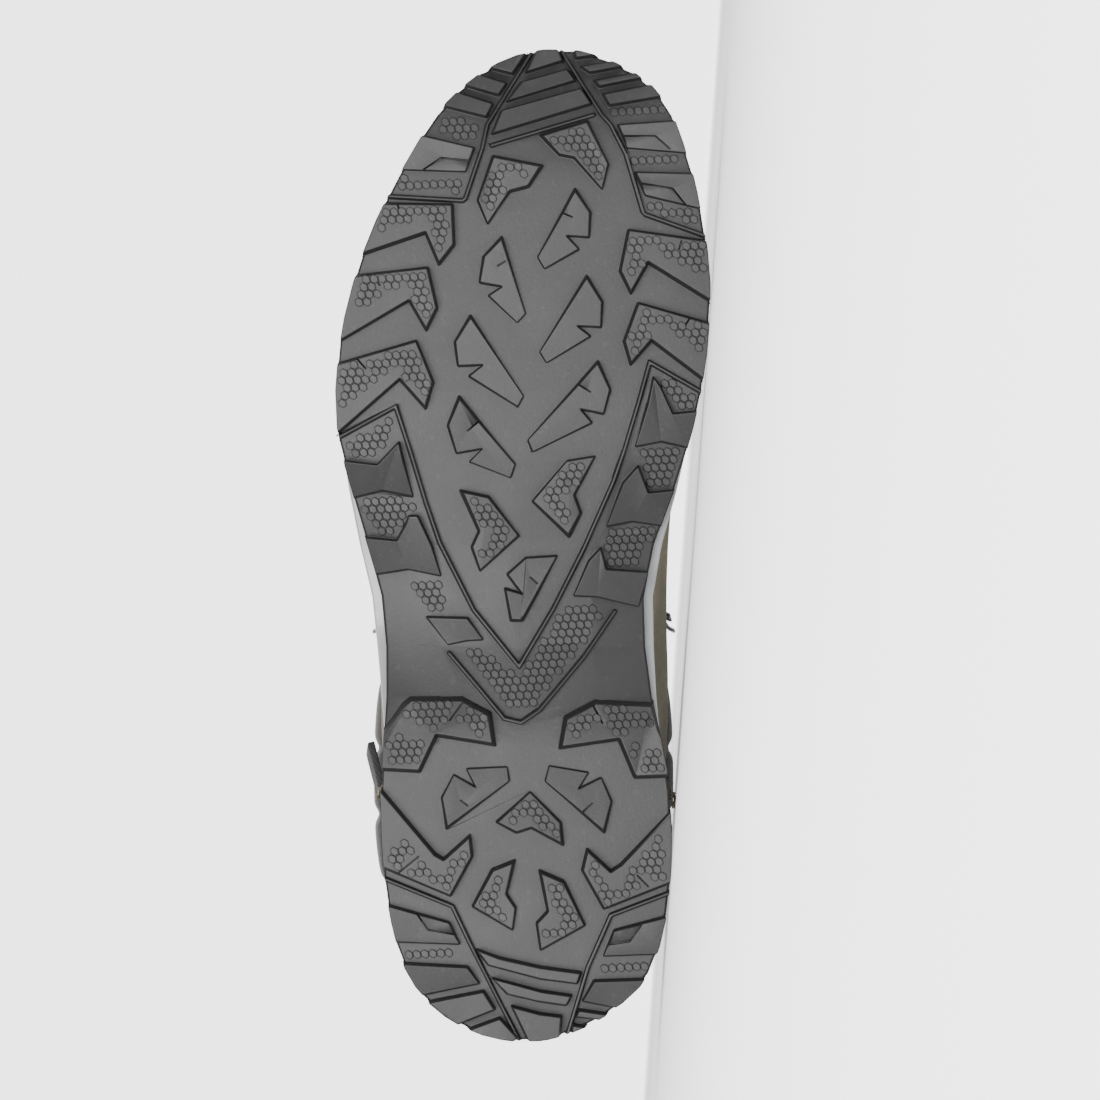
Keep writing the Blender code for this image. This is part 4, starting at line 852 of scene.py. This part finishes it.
# %% Cuff
def press(thing, amount):
    """Moves each point along its normal by amount(its place on the standing boot)."""
    mesh = thing.data
    moved = [v.co + v.normal * amount(UNBOOT @ v.co) for v in mesh.vertices]
    mesh.vertices.foreach_set("co", [number for place in moved for number in place])
    mesh.update()


cuff = softened("cuff", "padded_cuff", levels=3, sharp=75)
CHANNEL_STEP = 0.024
CHANNEL_DEPTH = 0.0016
CHANNEL_WIDTH = 0.0024
shaft_middle = Vector((0.070, 0.0))


def channel(spot):
    along = math.atan2(spot.y - shaft_middle.y, spot.x - shaft_middle.x) * 0.055
    offset = (along + CHANNEL_STEP / 2) % CHANNEL_STEP - CHANNEL_STEP / 2
    return 0.0003 - CHANNEL_DEPTH * math.exp(-((offset / CHANNEL_WIDTH) ** 2))


press(cuff, channel)
wear(cuff, cuff_leather, "cuff_leather", "cuff", smooth=60)
print("cuff pressed in channels every", CHANNEL_STEP, "m")

# %% Tongue
tongue = softened("tongue", "padded_tongue", levels=2, sharp=75)


def rib(spot):
    high = min(max((spot.z - 0.150) / 0.01, 0.0), 1.0)
    return 0.0005 * math.cos(math.tau * (spot.z - 0.150) / 0.011) * high


press(tongue, rib)
wear(tongue, tongue_cloth, "olive_nubuck", "tongue", smooth=60)

# %% Insole
insole = merged_copy("insole", "footbed", flat=2)
use_modifier(insole, "BEVEL", width=0.0006, segments=2, limit_method="ANGLE", use_clamp_overlap=False)
wear(insole, lining_cloth, "lining", "insole", smooth=40)

# %% [markdown]
# ## Lacing
# A round braided lace goes through the D-rings and round the hooks, and ends at the top hooks. The CAD
# lace has its true course in flat facets, so a subdivided copy is enough. Rings are drawn wire and
# hooks are pressed sheet: the first are rounded, the second get a small edge radius.

# %% Lace
lace = softened("lace", "braided_lace", levels=1, sharp=80)
wear(lace, lace_braid, "lace_cord", "lace", smooth=70)

# %% Rings, hooks and their rivets
gunmetal, place = new_finish("gunmetal", Metallic=1.0)
rubbed = ramp(noise(place, 300, 3), 0.45, 0.75)
tone = mix((0.16, 0.16, 0.17, 1), (0.42, 0.42, 0.43, 1), rubbed)
pitting = relief(noise(place, 1800, 2), 0.00002)
dress(gunmetal, Base_Color=tone, Roughness=0.42 - 0.14 * rubbed, Normal=pitting)
bpy.ops.object.select_all(action="DESELECT")
bpy.ops.mesh.primitive_uv_sphere_add(segments=16, ring_count=8, radius=0.0022)
rivet = bpy.context.active_object
bpy.ops.object.mode_set(mode="EDIT")
bpy.ops.mesh.select_all(action="SELECT")
bpy.ops.mesh.bisect(plane_co=(0, 0, 0.0008), plane_no=(0, 0, 1), clear_inner=True, use_fill=True)
bpy.ops.transform.translate(value=(0, 0, -0.0010))
bpy.ops.object.mode_set(mode="OBJECT")
stay_trees = {
    "inner": BVHTree.FromObject(overlays["eyestay_inner"], bpy.context.evaluated_depsgraph_get()),
    "outer": BVHTree.FromObject(overlays["eyestay_outer"], bpy.context.evaluated_depsgraph_get()),
}
rivet_places = []
for side, tree in stay_trees.items():
    for number in range(1, 5):
        node = f"ring_{side}_{number}"
        ring = softened(node, f"{side}_ring_{number}", levels=2, sharp=120)
        wear(ring, gunmetal, "gunmetal", node, smooth=80)
    for number in range(1, 4):
        node = f"hook_{side}_{number}"
        hook = merged_copy(node, f"{side}_hook_{number}", quads=True)
        use_modifier(
            hook, "BEVEL", width=0.0005, segments=3, limit_method="ANGLE", angle_limit=math.radians(50),
            use_clamp_overlap=False,
        )
        wear(hook, gunmetal, "gunmetal", node, smooth=50)
        centre = sum((vertex.co for vertex in hook.data.vertices), Vector()) / len(hook.data.vertices)
        place, normal, _, _ = tree.find_nearest(centre)
        rivet_places.append(
            Matrix.Translation(place + normal * 0.0014) @ normal.to_track_quat("Z", "Y").to_matrix().to_4x4()
        )
rivets = joined_copies(rivet, rivet_places, "rivets")
bpy.data.objects.remove(rivet)
wear(rivets, gunmetal, "gunmetal", smooth=60)

# %% [markdown]
# ## Webbing
# The pull loop and the side tab are folded tape. The tape's edges are soft, so each strip is rounded.

# %% Pull loop and side tab
pull = softened("pull_loop", "pull_loop_tape", levels=2, sharp=60)
wear(pull, black_webbing, "black_webbing", "pull_loop", smooth=60)
tab = softened("side_tab", "side_tab_tape", levels=2, sharp=60)
wear(tab, black_webbing, "black_webbing", "side_tab", smooth=60)
print("pull loop and side tab dressed")

# %% [markdown]
# ## Floor, light and camera
# The photograph is a plain studio view. The floor is pale, glows a little like a lit paper sweep, and
# runs on without an edge. A large soft light stands behind the camera, a little to the heel's left as
# the picture shows it, so that the flat faces of the tread reflect it and the walls stay dark.

# %% Floor
floor_finish, place = new_finish(
    "floor_paper", Roughness=0.9, Emission_Color=(1, 1, 1, 1), Emission_Strength=0.42
)
tone = mix((0.93, 0.93, 0.93, 1), (0.96, 0.96, 0.96, 1), noise(place, 3, 2))
dress(floor_finish, Base_Color=tone)
bpy.ops.object.select_all(action="DESELECT")
bpy.ops.mesh.primitive_plane_add(size=14.0)
floor = bpy.context.active_object
floor.name = "floor"
bpy.ops.object.mode_set(mode="EDIT")
edit = bmesh.from_edit_mesh(floor.data)
for edge in edit.edges:
    edge.select_set(all(vertex.co.y > 6 for vertex in edge.verts))
bpy.ops.mesh.extrude_edges_move(TRANSFORM_OT_translate={"value": (0, 0, 9)})
bpy.ops.object.mode_set(mode="OBJECT")
use_modifier(floor, "BEVEL", width=2.5, segments=16, limit_method="ANGLE")
floor.data.materials.append(floor_finish)
bpy.ops.object.shade_smooth()

# %% World and lights
world = bpy.data.worlds.new("studio")
bpy.context.scene.world = world
world.use_nodes = True
world.node_tree.nodes["Background"].inputs["Color"].default_value = (1, 1, 1, 1)
world.node_tree.nodes["Background"].inputs["Strength"].default_value = 0.2


def soft_light(name, place, target, size, power):
    data = bpy.data.lights.new(name, "AREA")
    data.shape = "RECTANGLE"
    data.size, data.size_y = size
    data.energy = power
    light = bpy.data.objects.new(name, data)
    bpy.context.scene.collection.objects.link(light)
    light.location = place
    light.rotation_mode = "QUATERNION"
    light.rotation_quaternion = (target - place).to_track_quat("-Z", "Y")


middle = at(*along_across(550, 550), 0)
soft_light("front_light", middle + Vector((-0.3, -2.0, 0.65)), middle, (1.5, 1.2), 78)
soft_light("top_light", middle + Vector((0.1, 0.3, 1.7)), middle, (1.6, 1.2), 20)
soft_light("backdrop_light", Vector((0, 2.5, 3.2)), Vector((0, 6.0, 1.5)), (6.0, 2.0), 650)

# %% Camera
CAMERA_DISTANCE = 1.5
PICTURE_WIDTH = 1100 / 998 * SOLE_LENGTH
camera_data = bpy.data.cameras.new("camera")
camera = bpy.data.objects.new("camera", camera_data)
bpy.context.scene.collection.objects.link(camera)
bpy.context.scene.camera = camera
eye = at(*along_across(550, 550), -CAMERA_DISTANCE)
eye.z = max(eye.z, 0.006)
toeward = (turn @ Vector((1, 0, 0))).normalized()
backward = (eye - middle).normalized()
rightward = toeward.cross(backward).normalized()
camera.matrix_world = Matrix.Translation(eye) @ Matrix(
    (rightward, backward.cross(rightward), backward)
).transposed().to_4x4()
camera_data.sensor_width = 36.0
camera_data.lens = 36.0 * CAMERA_DISTANCE / PICTURE_WIDTH
camera_data.clip_start = 0.05
camera_data.clip_end = 60.0
print("the camera stands", round(eye.z, 4), "m above the floor")

# %% [markdown]
# ## Sizes
# The dressed boot must stay inside the CAD boot's box, give or take what soft material may stand
# proud.

# %% End of the lesson
import json
